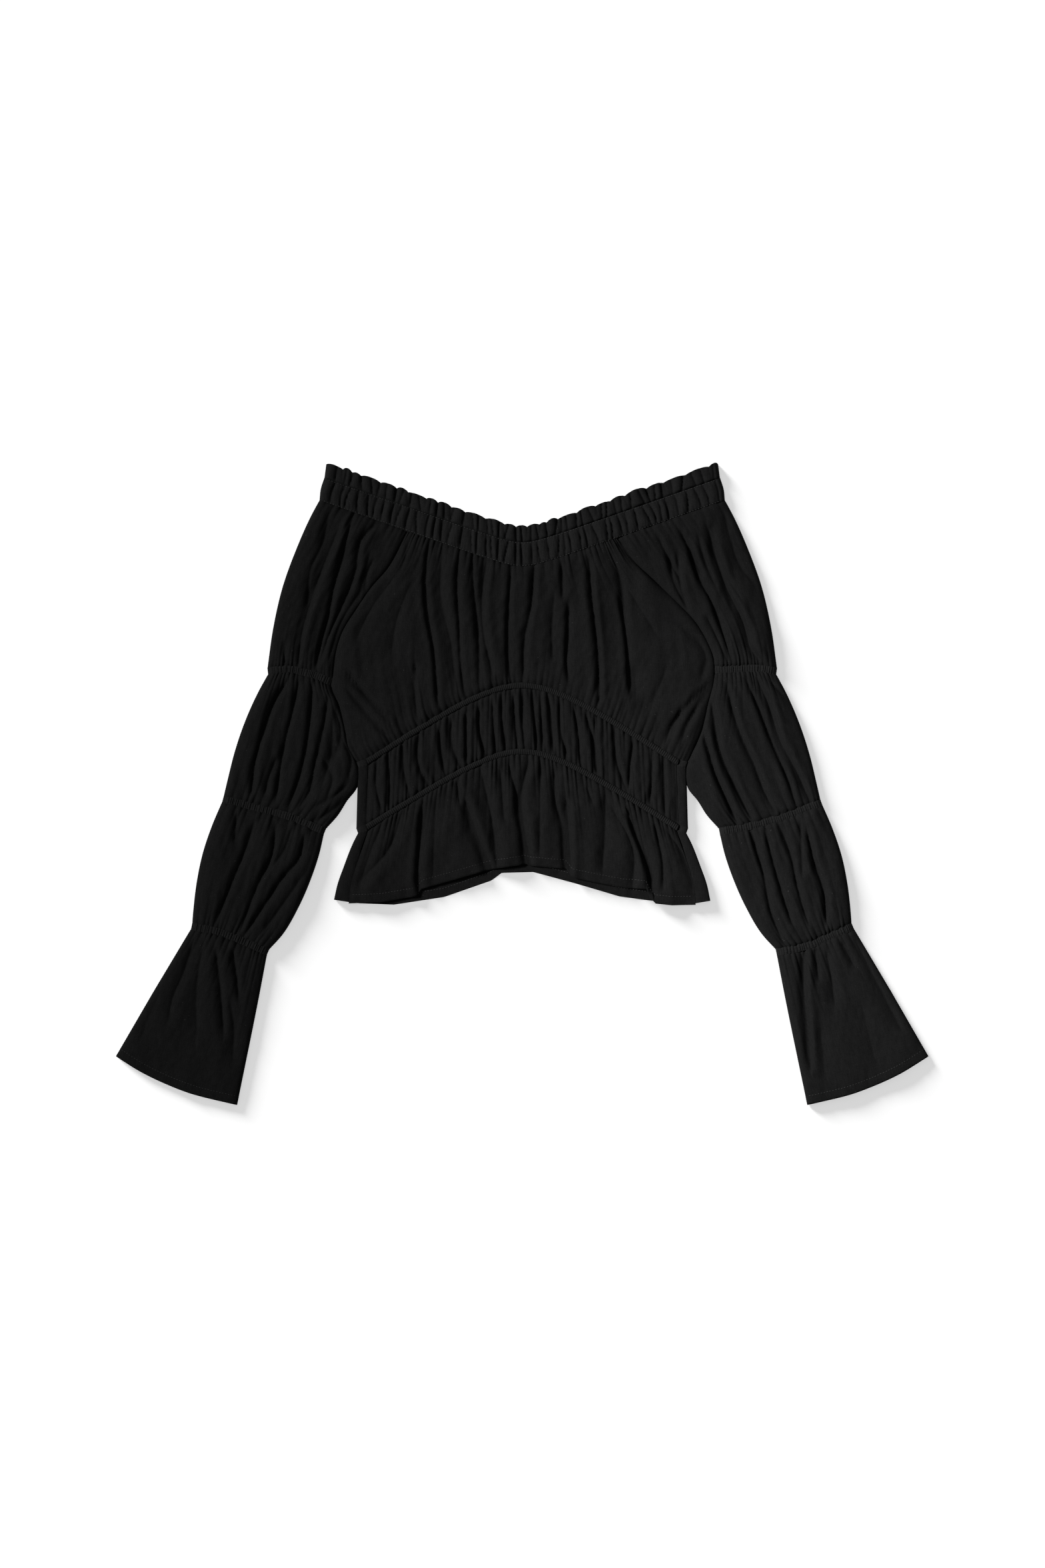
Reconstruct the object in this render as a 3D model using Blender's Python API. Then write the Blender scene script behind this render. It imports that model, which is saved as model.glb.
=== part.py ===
"""A gathered off-the-shoulder top, laid flat with its front up, as the solids of its cut and sewn pieces.

Sizes below are in millimetres, with x to the right, y towards the neck and z up from the surface it lies on.
The meshes are made in metres. Run it with blender --background --python part.py, or from the text editor.
"""

from collections import namedtuple
from math import hypot, pi, sin

import bmesh
import bpy
import numpy as np

MM = 0.001

# Cloth and seams
WALL = 1.4
SEAM_GAP = 0.35
SIDE_GAP = 1.3
LAYER_GAP = 0.3
FRONT_UNDER = WALL + LAYER_GAP
LEAST_TOP = FRONT_UNDER + WALL + 0.1

# Rounded side edges: the height of their outermost point, how far in the cloth rises and the tuck underneath,
# and inside them the wall, its corner and the least opening between the layers
EDGE_HEIGHT = 1.9
EDGE_ROLL = 6.0
EDGE_TUCK = 1.5
EDGE_WALL = 1.5
EDGE_CORNER = 0.7
EDGE_OPENING = 0.25

# Neck: a shallow V with a rounded point, the same line for the casing and the ruffle
NECK_LOW = 211.0
NECK_SLOPE = 0.352
NECK_ROUND = 15.0
NECK_HALF_WIDTH = 197.6
NECK_INSET = 0.2
CASING_TOP_HALF_WIDTH = 192.8
CASING_HEIGHT = 24.4
CASING_BULGE = 1.2
CASING_BASE = 0.5
CASING_PUFF = 0.6
CASING_GATHER = 1.3
RUFFLE_HEIGHT = 16.0
RUFFLE_BASE = 0.2
RUFFLE_WAVE = 3.2
RUFFLE_TAPER = 0.65
RUFFLE_HALF_WIDTH = 191.0
RUFFLE_SCALLOP = 1.6
NECK_GATHERS = 32
GATHER_SHIFT = 0.24
GATHER_RATE = 2.4

# Bust and waist elastics: arches across the front, and round the back
Arch = namedtuple("Arch", "top slope rounding")
BUST = Arch(top=95.6, slope=0.68, rounding=50.0)
WAIST = Arch(top=31.2, slope=0.655, rounding=45.0)
CHANNEL_WIDTH = 6.2
CHANNEL_HALF_SPAN = 151.0
CHANNEL_LOFT = 1.4
CHANNEL_PROFILE = (1.0, 0.45, -0.45, -1.0)
END_SLOPE = 0.35

# How far the cloth stands up between its seams
BODICE_LOFT = 4.0
MIDRIFF_LOFT = 2.6
PEPLUM_LOFT = 3.6
SLEEVE_LOFT = 4.2
CUFF_LOFT = 3.0
SEAM_DIP = 0.55
SEAM_DIP_REACH = 9.0
LEAST_FOLD_WIDTH = 3.2

# Sides of the body, from the neck casing down to the waist, as the outer edge of the front
Point = namedtuple("Point", "x y")
LEFT_SIDE = (
    Point(-112.0, 242.0),
    Point(-132.0, 209.0),
    Point(-147.0, 192.0),
    Point(-162.0, 170.0),
    Point(-176.0, 147.0),
    Point(-182.0, 128.0),
    Point(-184.8, 107.0),
    Point(-186.0, 93.0),
    Point(-179.5, 77.0),
    Point(-173.0, 51.0),
    Point(-169.0, 33.0),
    Point(-163.0, 17.0),
    Point(-161.6, -4.0),
    Point(-160.0, -41.0),
)
RIGHT_SIDE = (
    Point(93.0, 237.0),
    Point(111.0, 215.0),
    Point(129.0, 198.0),
    Point(154.0, 174.0),
    Point(169.0, 158.0),
    Point(181.0, 138.0),
    Point(187.0, 122.0),
    Point(187.8, 102.0),
    Point(182.5, 82.0),
    Point(175.0, 51.0),
    Point(168.0, 34.0),
    Point(162.5, 17.0),
    Point(162.0, -4.0),
    Point(160.0, -41.0),
)
BODY_HALF_WIDTH = 160.8
BODICE_SPREAD = (134.5, 101.0)
BODICE_SIDE_POWER = 3
SIDE_ROWS_TO_BUST = 11
SIDE_SAMPLES = 24
SIDE_STEP = 4.0
NOTCH_Y = 0.0

# Peplum: side edges below the waist, front hem and back hem, left to right
PEPLUM_SIDE = (Point(164.5, -57.0), Point(174.0, -81.0), Point(180.0, -98.0))
FRONT_HEM = (
    Point(-169.0, -116.6),
    Point(-138.0, -116.0),
    Point(-101.0, -108.0),
    Point(-76.0, -100.5),
    Point(-53.0, -92.0),
    Point(-26.0, -83.0),
    Point(4.0, -79.0),
    Point(34.0, -85.0),
    Point(52.0, -94.0),
    Point(86.0, -102.0),
    Point(120.0, -105.5),
    Point(133.0, -117.0),
    Point(169.0, -118.0),
)
BACK_HEM = (
    Point(-183.4, -113.0),
    Point(-160.0, -116.6),
    Point(-125.0, -118.0),
    Point(-76.0, -110.5),
    Point(-30.0, -94.5),
    Point(-20.0, -87.0),
    Point(11.0, -86.2),
    Point(51.0, -97.0),
    Point(95.0, -110.0),
    Point(121.0, -113.5),
    Point(160.0, -118.0),
    Point(183.4, -114.0),
)
TURN_WIDTH = BODY_HALF_WIDTH - CHANNEL_HALF_SPAN - SIDE_GAP
HEM_TURN_WIDTH = 13.6
RETURN_TOP = 4.2

# Sleeves: edges on the left one; the outline of the right one is its mirror image
SHOULDER_OUTER = (
    Point(-197.8, 275.0),
    Point(-206.0, 259.5),
    Point(-219.5, 228.5),
    Point(-232.4, 192.0),
    Point(-241.0, 153.0),
    Point(-246.2, 113.5),
)
ELBOW_OUTER = (
    Point(-249.5, 105.5),
    Point(-259.0, 88.0),
    Point(-270.5, 62.0),
    Point(-280.5, 32.0),
    Point(-287.0, 5.0),
    Point(-290.5, -10.5),
)
FOREARM_OUTER = (
    Point(-293.0, -18.0),
    Point(-303.0, -41.5),
    Point(-311.8, -68.0),
    Point(-317.5, -96.0),
    Point(-320.5, -122.0),
    Point(-321.5, -134.5),
)
CUFF_OUTER = (Point(-323.5, -142.5), Point(-360.0, -203.5), Point(-396.0, -265.5))
ELBOW_INNER_BELOW_BODY = (
    Point(-163.2, -4.0),
    Point(-170.0, -15.5),
    Point(-178.5, -29.0),
    Point(-190.5, -42.5),
)
FOREARM_INNER = (
    Point(-194.0, -50.5),
    Point(-197.9, -68.0),
    Point(-206.5, -94.0),
    Point(-218.0, -120.0),
    Point(-233.5, -146.0),
    Point(-246.0, -159.5),
)
CUFF_INNER = (Point(-249.5, -168.0), Point(-255.2, -199.0), Point(-277.8, -313.0))
CUFF_HEM = (Point(-396.0, -265.5), Point(-365.6, -283.7), Point(-326.0, -300.6), Point(-277.8, -313.0))

# Sleeve elastics: centre lines from the outer edge to the inner edge, the right ones given on the left side
ELASTIC_WIDTH = 7.0
ELASTIC_TOP = 5.2
UPPER_LEFT = (Point(-248.0, 109.5), Point(-230.0, 111.5), Point(-211.0, 108.2), Point(-187.2, 99.5))
UPPER_RIGHT = (Point(-248.0, 109.5), Point(-230.0, 112.0), Point(-211.0, 112.0), Point(-189.8, 111.0))
MIDDLE_LEFT = (Point(-291.6, -14.6), Point(-260.0, -23.0), Point(-227.0, -31.8), Point(-192.2, -46.5))
MIDDLE_RIGHT = (Point(-291.6, -18.0), Point(-266.0, -27.6), Point(-232.0, -38.8), Point(-192.2, -46.5))
LOWER_LEFT = (Point(-322.2, -138.6), Point(-298.0, -143.5), Point(-276.0, -151.2), Point(-247.6, -164.0))
LOWER_RIGHT = (Point(-322.2, -138.6), Point(-300.0, -148.0), Point(-276.0, -158.0), Point(-247.6, -164.0))

# Folds: a trough from its start to its end, its middle moved sideways by bow, with its depth and width
Fold = namedtuple("Fold", "x0 y0 x1 y1 bow depth width")
BODICE_FOLDS = (
    Fold(-111, 240, -118, 206, 0.0, 1.4, 3.2),
    Fold(-91, 237, -82, 76, -6.8, 3.4, 3.8),
    Fold(-78, 229, -65, 102, -3.5, 1.6, 4.0),
    Fold(-61, 222, -56, 80, -2.6, 2.6, 3.6),
    Fold(-48, 222, -41, 92, 1.0, 2.0, 3.4),
    Fold(-34, 217, -29, 100, -7.0, 2.8, 3.6),
    Fold(-10, 212, -12, 100, -3.0, 2.6, 3.6),
    Fold(12, 211, 2, 101, 0.0, 2.8, 3.6),
    Fold(31, 200, 30, 112, -2.0, 1.6, 4.2),
    Fold(39, 215, 45, 96, 1.3, 2.6, 3.6),
    Fold(65, 220, 75, 80, 0.0, 3.4, 3.8),
    Fold(85, 228, 100, 170, 3.0, 1.8, 3.6),
    Fold(96, 181, 106, 86, 1.3, 2.6, 3.8),
    Fold(108, 140, 112, 84, 0.0, 2.0, 6.0),
    Fold(-104, 118, -102, 62, -1.6, 1.4, 3.6),
    Fold(-171, 108, -119, 48, -5.0, 3.0, 4.4),
    Fold(-171, 91, -128, 42, -4.5, 2.2, 4.0),
    Fold(152, 154, 178, 127, 2.0, 1.6, 4.2),
    Fold(185, 99, 140, 41, -8.0, 3.2, 4.4),
    Fold(182, 80, 155, 38, -4.0, 2.0, 3.6),
)
GatherFold = namedtuple("GatherFold", "top bottom bow depth")
MIDRIFF_WIDTH = 3.2
MIDRIFF_FOLDS = (
    GatherFold(-140, -135, -1.5, 1.8),
    GatherFold(-131, -129, 1.0, 1.6),
    GatherFold(-116, -110, -2.0, 2.4),
    GatherFold(-100, -91, -3.0, 2.6),
    GatherFold(-81, -75, 1.0, 1.8),
    GatherFold(-69, -59, -1.5, 2.4),
    GatherFold(-55, -54, 1.0, 2.4),
    GatherFold(-42, -35, -1.0, 2.2),
    GatherFold(-29, -27, 0.8, 2.2),
    GatherFold(-20, -16, -0.8, 1.8),
    GatherFold(-9, -4, 0.6, 2.0),
    GatherFold(1, 1, -0.6, 1.6),
    GatherFold(10, 13, 0.8, 2.2),
    GatherFold(18, 21, 0.5, 2.0),
    GatherFold(26, 30, 0.8, 2.2),
    GatherFold(37, 44, 1.5, 1.8),
    GatherFold(50, 56, 1.0, 1.8),
    GatherFold(62, 70, 2.0, 2.4),
    GatherFold(73, 73, 1.5, 1.6),
    GatherFold(91, 100, -1.0, 1.8),
    GatherFold(107, 103, 1.0, 1.8),
    GatherFold(126, 125, 1.5, 1.6),
    GatherFold(137, 139, 1.5, 2.0),
)
PEPLUM_FOLDS = (
    Fold(-126, -40, -160, -100, -8.0, 1.8, 4.6),
    Fold(-97, -25, -102, -104, 1.0, 3.4, 4.6),
    Fold(-84, -12, -86, -60, 1.0, 1.4, 4.6),
    Fold(-56, -2, -32, -84, 0.0, 3.4, 4.8),
    Fold(-41, 12, -26, -76, 2.0, 2.8, 6.0),
    Fold(-19, 20, -15, -40, 0.0, 1.4, 4.0),
    Fold(7, 20, -4, -20, 0.0, 2.2, 4.2),
    Fold(-13, 20, 5, -78, -3.0, 3.0, 4.8),
    Fold(18, 20, 17, -70, 0.0, 1.6, 4.4),
    Fold(43, -22, 46, -92, 1.0, 3.6, 4.2),
    Fold(80, -10, 79, -88, 2.0, 1.8, 6.0),
    Fold(87, -23, 109, -67, 2.0, 3.0, 4.4),
    Fold(107, -38, 130, -98, -2.0, 3.4, 4.6),
    Fold(130, -42, 138, -102, 2.0, 1.8, 3.6),
    Fold(141, -45, 170, -106, 3.0, 2.4, 4.2),
)
SLEEVE_FOLDS = {
    "shoulder_left": (
        Fold(-187, 262, -209, 174, -2.0, 1.8, 4.2),
        Fold(-178, 247, -218, 114, -4.5, 3.0, 4.0),
        Fold(-163, 262, -201, 113, -1.0, 2.8, 3.8),
        Fold(-140, 253, -196, 118, -1.0, 2.6, 3.8),
        Fold(-156, 233, -163, 174, 0.0, 1.6, 3.4),
        Fold(-231, 150, -230, 114, 0.0, 1.6, 3.6),
    ),
    "elbow_left": (
        Fold(-228, 104, -264, -10, -6.6, 3.2, 4.0),
        Fold(-217, 104, -240, -20, -1.7, 2.4, 3.8),
        Fold(-204, 102, -227, -24, 5.0, 2.4, 3.8),
        Fold(-189, 88, -216, -26, 3.7, 2.4, 3.8),
        Fold(-240, 24, -250, -10, 0.0, 1.8, 3.4),
    ),
    "forearm_left": (
        Fold(-278, -24, -281, -60, 0.0, 1.6, 3.4),
        Fold(-260, -32, -298, -137, 0.0, 2.6, 3.8),
        Fold(-240, -36, -274, -146, 5.0, 2.6, 3.8),
        Fold(-212, -44, -262, -150, 5.0, 2.6, 4.2),
    ),
    "cuff_left": (
        Fold(-319, -148, -342, -214, 0.0, 1.6, 5.0),
        Fold(-298, -152, -290, -246, 0.8, 2.0, 4.6),
        Fold(-281, -160, -274, -214, 0.0, 1.8, 3.6),
    ),
    "shoulder_right": (
        Fold(143, 226, 158, 172, 0.0, 1.6, 3.4),
        Fold(151, 240, 163, 165, 0.0, 2.0, 3.4),
        Fold(162, 250, 195, 165, -5.0, 2.4, 3.8),
        Fold(181, 262, 237, 115, -4.7, 3.0, 4.2),
        Fold(196, 266, 228, 190, -2.0, 1.8, 4.2),
        Fold(184, 150, 201, 116, -1.0, 1.8, 3.6),
    ),
    "elbow_right": (
        Fold(184, 82, 223, -34, -7.5, 3.4, 3.8),
        Fold(177, 50, 209, -36, -3.4, 2.6, 3.6),
        Fold(199, 106, 246, -30, -2.6, 2.6, 3.8),
        Fold(217, 107, 266, -24, 0.0, 2.2, 3.8),
        Fold(228, 107, 280, -18, -3.0, 3.0, 3.8),
        Fold(238, 106, 262, 78, 0.0, 1.4, 3.4),
    ),
    "forearm_right": (
        Fold(223, -44, 254, -156, -2.0, 2.2, 3.8),
        Fold(236, -44, 262, -150, -1.0, 2.2, 3.6),
        Fold(251, -38, 279, -148, 1.0, 2.2, 3.8),
        Fold(277, -32, 296, -142, 2.3, 3.0, 4.0),
    ),
    "cuff_right": (
        Fold(274, -164, 279, -250, -1.5, 2.0, 4.0),
        Fold(296, -156, 306, -220, 0.0, 1.8, 4.6),
        Fold(322, -148, 372, -244, 0.0, 1.8, 6.0),
    ),
}

# Mesh counts
BODICE_COLUMNS = 58
MIDRIFF_COLUMNS = 78
PEPLUM_COLUMNS = 60
ARCH_COLUMNS = 36
BACK_COLUMNS = 18
SLEEVE_COLUMNS = 19
SLEEVE_UNDER_COLUMNS = 5
NECK_UNDER_COLUMNS = 12
ELASTIC_COLUMNS = 10
COLUMNS_A_GATHER = 3

# Stations down each piece, closer together where its edge curves round the underarm
BODICE_STATIONS = (0.0, 0.15, 0.29, 0.42, 0.53, 0.62, 0.7, 0.78, 0.86, 0.93, 1.0)
MIDRIFF_STATIONS = (0.0, 0.3, 0.7, 1.0)
PEPLUM_STATIONS = (0.0, 0.12, 0.3, 0.5, 0.75, 1.0)
NECK_STATIONS = (0.0, 0.5, 1.0)
SLEEVE_STATIONS = {
    "shoulder": (0.0, 0.22, 0.44, 0.62, 0.76, 0.88, 1.0),
    "elbow": (0.0, 0.12, 0.25, 0.38, 0.52, 0.68, 0.84, 1.0),
    "forearm": (0.0, 0.25, 0.5, 0.75, 1.0),
    "cuff": (0.0, 0.2, 0.45, 0.72, 1.0),
}


def smooth_curve(points):
    """A smooth curve through some points, as a function of a share from 0 to 1 of its length."""
    spots = np.array([tuple(p) for p in points], dtype=float)
    steps = np.hypot(*np.diff(spots, axis=0).T)
    knots = np.concatenate([[0.0], np.cumsum(steps)]) / steps.sum()
    slopes = np.gradient(spots, knots, axis=0)

    def at(share):
        share = np.clip(np.asarray(share, dtype=float), 0.0, 1.0)
        place = np.clip(np.searchsorted(knots, share, side="right") - 1, 0, len(knots) - 2)
        gap = (knots[place + 1] - knots[place])[..., None]
        part = (share - knots[place])[..., None] / gap
        start = (1 + 2 * part) * (1 - part) ** 2 * spots[place] + part * (1 - part) ** 2 * gap * slopes[place]
        end = part**2 * (3 - 2 * part) * spots[place + 1] + part**2 * (part - 1) * gap * slopes[place + 1]
        return start + end

    return at


def straight_curve(points):
    """A curve of straight runs through some points, as a function of a share of its length."""
    spots = np.array([tuple(p) for p in points], dtype=float)
    steps = np.hypot(*np.diff(spots, axis=0).T)
    knots = np.concatenate([[0.0], np.cumsum(steps)]) / steps.sum()

    def at(share):
        share = np.asarray(share, dtype=float)
        return np.stack([np.interp(share, knots, spots[:, 0]), np.interp(share, knots, spots[:, 1])], axis=-1)

    return at


def shifted(curve, distance):
    """The curve moved to the left of its own direction by a distance."""
    small = 1e-4

    def at(share):
        share = np.asarray(share, dtype=float)
        ahead = curve(np.clip(share + small, 0, 1)) - curve(np.clip(share - small, 0, 1))
        ahead /= np.hypot(ahead[..., 0], ahead[..., 1])[..., None]
        return curve(share) + distance * np.stack([-ahead[..., 1], ahead[..., 0]], axis=-1)

    return at


def neck_line(x, rise=0.0):
    """The height of the neck seam at x, raised by rise."""
    return NECK_LOW + rise + NECK_SLOPE * (np.hypot(x, NECK_ROUND) - NECK_ROUND)


def neck_curve(left, right, rise=0.0):
    """The neck line between two x places, raised by rise."""

    def at(share):
        x = left + (right - left) * np.asarray(share, dtype=float)
        return np.stack([x, neck_line(x, rise)], axis=-1)

    return at


def bodice_neck_curve(rise):
    """The neck line over the bodice, its places set so that the lines down from its middle run straight."""

    def at(share):
        x = BODY_HALF_WIDTH * (2 * np.asarray(share, dtype=float) - 1)
        ends = np.where(x < 0, -LEFT_SIDE[0].x, RIGHT_SIDE[0].x)
        spread = np.where(x < 0, *BODICE_SPREAD)
        x = ends * np.tanh(x / spread) / np.tanh(BODY_HALF_WIDTH / spread)
        return np.stack([x, neck_line(x, rise)], axis=-1)

    return at


def arch_height(arch, x):
    """The height of a channel's centre line at x: an arch as far as the side seams, more level past them."""
    within = np.clip(x, -CHANNEL_HALF_SPAN, CHANNEL_HALF_SPAN)
    past = np.abs(x) - np.abs(within)
    return arch.top - arch.slope * (np.hypot(within, arch.rounding) - arch.rounding) - END_SLOPE * past


def arch_curve(arch, half_span):
    """A channel's centre line between its two ends."""

    def at(share):
        x = half_span * (2 * np.asarray(share, dtype=float) - 1)
        return np.stack([x, arch_height(arch, x)], axis=-1)

    return at


def patch(top, bottom, left, right, side_power=1):
    """A surface between four curves, as a function of u across and v down.

    The larger side_power is, the less the sides bend the lines in the middle.
    """

    def at(u, v):
        u, v = np.broadcast_arrays(np.asarray(u, dtype=float), np.asarray(v, dtype=float))
        across, down = u[..., None], v[..., None]
        ruled = (1 - down) * top(u) + down * bottom(u)
        left_pull = left(v) - (1 - down) * top(0.0) - down * bottom(0.0)
        right_pull = right(v) - (1 - down) * top(1.0) - down * bottom(1.0)
        return ruled + (1 - across) ** side_power * left_pull + across**side_power * right_pull

    return at


def fold_depth(x, y, folds):
    """How far the folds press the cloth down at a place."""
    total = np.zeros_like(x)
    for fold in folds:
        run_x = fold.x1 - fold.x0
        run_y = fold.y1 - fold.y0
        length = hypot(run_x, run_y)
        along = ((x - fold.x0) * run_x + (y - fold.y0) * run_y) / length**2
        held = np.clip(along, 0.0, 1.0)
        bow = 4 * fold.bow * held * (1 - held)
        off_x = x - (fold.x0 + held * run_x + bow)
        off_y = y - (fold.y0 + held * run_y)
        width = max(fold.width, LEAST_FOLD_WIDTH)
        total += fold.depth * np.exp(-((np.hypot(off_x, off_y) / width) ** 2))
    return total


def edge_share(distance, reach):
    """Grows from 0 at an edge to 1 well inside it."""
    return 1 - np.exp(-np.maximum(distance, 0.0) / reach)


def cloth_top(surface, u, v, loft, folds, hem=False):
    """Points on the top of a piece: flat at its edges, lofted between them and pressed in at the folds."""
    spots = surface(u, v)
    width = np.hypot(*np.moveaxis(surface(1.0, v) - surface(0.0, v), -1, 0))
    length = np.hypot(*np.moveaxis(surface(u, 1.0) - surface(u, 0.0), -1, 0))
    side = edge_share(np.minimum(u, 1 - u) * width, EDGE_ROLL)
    to_seam = v * length if hem else np.minimum(v, 1 - v) * length
    rise = loft * side * (1 - SEAM_DIP * np.exp(-to_seam / SEAM_DIP_REACH))
    x, y = spots[..., 0], spots[..., 1]
    z = LEAST_TOP + np.maximum(rise - fold_depth(x, y, folds) * side, 0.0)
    return np.stack([x, y, z], axis=-1)


def material(name, colour, roughness):
    """A plain cloth finish."""
    made = bpy.data.materials.get(name) or bpy.data.materials.new(name)
    made.use_nodes = True
    shader = made.node_tree.nodes["Principled BSDF"]
    shader.inputs["Base Color"].default_value = (*colour, 1.0)
    shader.inputs["Roughness"].default_value = roughness
    shader.inputs["Metallic"].default_value = 0.0
    return made


def shell(name, outer, inner, closed, finish, parent):
    """One closed solid between two grids of points of the same shape, each a row of points for each station."""
    rows, columns = outer.shape[:2]
    origin = outer.reshape(-1, 3).mean(axis=0)
    origin[2] = 0.0
    mesh_maker = bmesh.new()
    made = []
    for grid in (outer, inner):
        made.append([[mesh_maker.verts.new((p - origin) * MM) for p in row] for row in grid])
    last = columns if closed else columns - 1

    def face(a, b, c, d):
        mesh_maker.faces.new((a, b, c))
        mesh_maker.faces.new((a, c, d))

    out, into = made
    for i in range(rows - 1):
        for j in range(last):
            k = (j + 1) % columns
            face(out[i][j], out[i + 1][j], out[i + 1][k], out[i][k])
            face(into[i][k], into[i + 1][k], into[i + 1][j], into[i][j])
    for j in range(last):
        k = (j + 1) % columns
        face(out[0][k], into[0][k], into[0][j], out[0][j])
        face(out[-1][j], into[-1][j], into[-1][k], out[-1][k])
    if not closed:
        for i in range(rows - 1):
            face(out[i][0], into[i][0], into[i + 1][0], out[i + 1][0])
            face(out[i + 1][-1], into[i + 1][-1], into[i][-1], out[i][-1])
    bmesh.ops.recalc_face_normals(mesh_maker, faces=mesh_maker.faces)
    mesh = bpy.data.meshes.new(name)
    mesh_maker.to_mesh(mesh)
    mesh_maker.free()
    mesh.materials.append(finish)
    mesh.shade_smooth()
    mesh.set_sharp_from_angle(angle=pi / 3)
    piece = bpy.data.objects.new(name, mesh)
    piece.location = origin * MM
    piece.parent = parent
    bpy.context.collection.objects.link(piece)
    return piece


def front_wall(name, surface, columns, stations, loft, folds, finish, parent, hem=False):
    """A front piece: a wall over the back, folded on both faces alike."""
    u, v = np.meshgrid(np.linspace(0, 1, columns + 1), stations)
    top = cloth_top(surface, u, v, loft, folds, hem)
    under = top - np.array([0.0, 0.0, WALL])
    return shell(name, top, under, False, finish, parent)


def back_wall(name, surface, columns, stations, finish, parent):
    """A back piece: a flat wall on the surface that the top lies on."""
    u, v = np.meshgrid(np.linspace(0, 1, columns + 1), stations)
    spots = surface(u, v)
    top = np.stack([spots[..., 0], spots[..., 1], np.full(u.shape, WALL)], axis=-1)
    under = top - np.array([0.0, 0.0, WALL])
    return shell(name, top, under, False, finish, parent)


def turned_wall(name, surface, columns, rows, turns, finish, parent):
    """A back piece whose sides turn round the edges and lie on top as strips, turns giving their width down it."""
    outer_rows, inner_rows = [], []
    for v, strip in zip(np.linspace(0, 1, rows + 1), np.linspace(*turns, rows + 1)):
        width = float(np.hypot(*(surface(1.0, v) - surface(0.0, v))))
        turn_out = [(strip, RETURN_TOP), (EDGE_TUCK, RETURN_TOP), (0.0, RETURN_TOP / 2), (EDGE_TUCK, 0.0)]
        turn_in = [
            (strip, RETURN_TOP - WALL),
            (EDGE_WALL + EDGE_CORNER, RETURN_TOP - WALL),
            (EDGE_WALL, RETURN_TOP / 2),
            (EDGE_WALL + EDGE_CORNER, WALL),
        ]
        flat = np.linspace(0, width, columns + 1)[1:-1]
        for turn, height, kept in ((turn_out, 0.0, outer_rows), (turn_in, WALL, inner_rows)):
            middle = [(s, height) for s in flat]
            right = [(width - s, z) for s, z in reversed(turn)]
            row = turn + middle + right
            spots = surface(np.array([s / width for s, _ in row]), v)
            kept.append(np.column_stack([spots, [z for _, z in row]]))
    return shell(name, np.array(outer_rows), np.array(inner_rows), False, finish, parent)


def tube(name, surface, shares, stations, under_columns, height, finish, parent):
    """A flattened tube: flat underneath, folded round both sides, open at both ends.

    shares are the places across its top from 0 to 1, stations those along it, and height(u, v) gives its top.
    """
    outer_rows, inner_rows = [], []
    for v in stations:
        width = float(np.hypot(*(surface(1.0, v) - surface(0.0, v))))
        inside = EDGE_WALL / width
        corner = (EDGE_WALL + EDGE_CORNER) / width
        tuck = EDGE_TUCK / width
        top_z = height(shares, np.full(shares.shape, v))
        over_z = top_z.copy()
        over_z[[0, -1]] = EDGE_HEIGHT
        roof_u = shares.copy()
        roof_u[[0, -1]] = inside, 1 - inside
        roof_z = top_z - WALL
        roof_z[[0, -1]] = WALL + EDGE_OPENING
        floor_u = np.linspace(1 - tuck, tuck, under_columns)
        floor_in_u = np.linspace(1 - corner, corner, under_columns)
        over = surface(np.concatenate([shares, floor_u]), v)
        outer_rows.append(np.column_stack([over, np.concatenate([over_z, np.zeros(under_columns)])]))
        within = surface(np.concatenate([roof_u, floor_in_u]), v)
        inner_rows.append(np.column_stack([within, np.concatenate([roof_z, np.full(under_columns, WALL)])]))
    return shell(name, np.array(outer_rows), np.array(inner_rows), True, finish, parent)


def side_curve(points, outwards=0.0):
    """A side of the body as a smooth curve, moved outwards by a distance."""
    towards = -1.0 if points[0].x < 0 else 1.0
    return shifted(smooth_curve(points), towards * outwards)


def gather_shares():
    """The valleys of the neck gathers, unevenly spaced, with two places between each pair."""
    count = NECK_GATHERS
    valleys = [(i + GATHER_SHIFT * sin(GATHER_RATE * i)) / count for i in range(1, count)]
    valleys = [0.0] + valleys + [1.0]
    shares = []
    for start, end in zip(valleys, valleys[1:]):
        shares += [start + (end - start) * k / COLUMNS_A_GATHER for k in range(COLUMNS_A_GATHER)]
    return np.array(shares + [1.0])


def gather_rise(shares):
    """1 on the gathers' ridges and 0 in their valleys, for the places of gather_shares."""
    rise = np.ones(len(shares))
    rise[::COLUMNS_A_GATHER] = 0.0
    return rise


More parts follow.
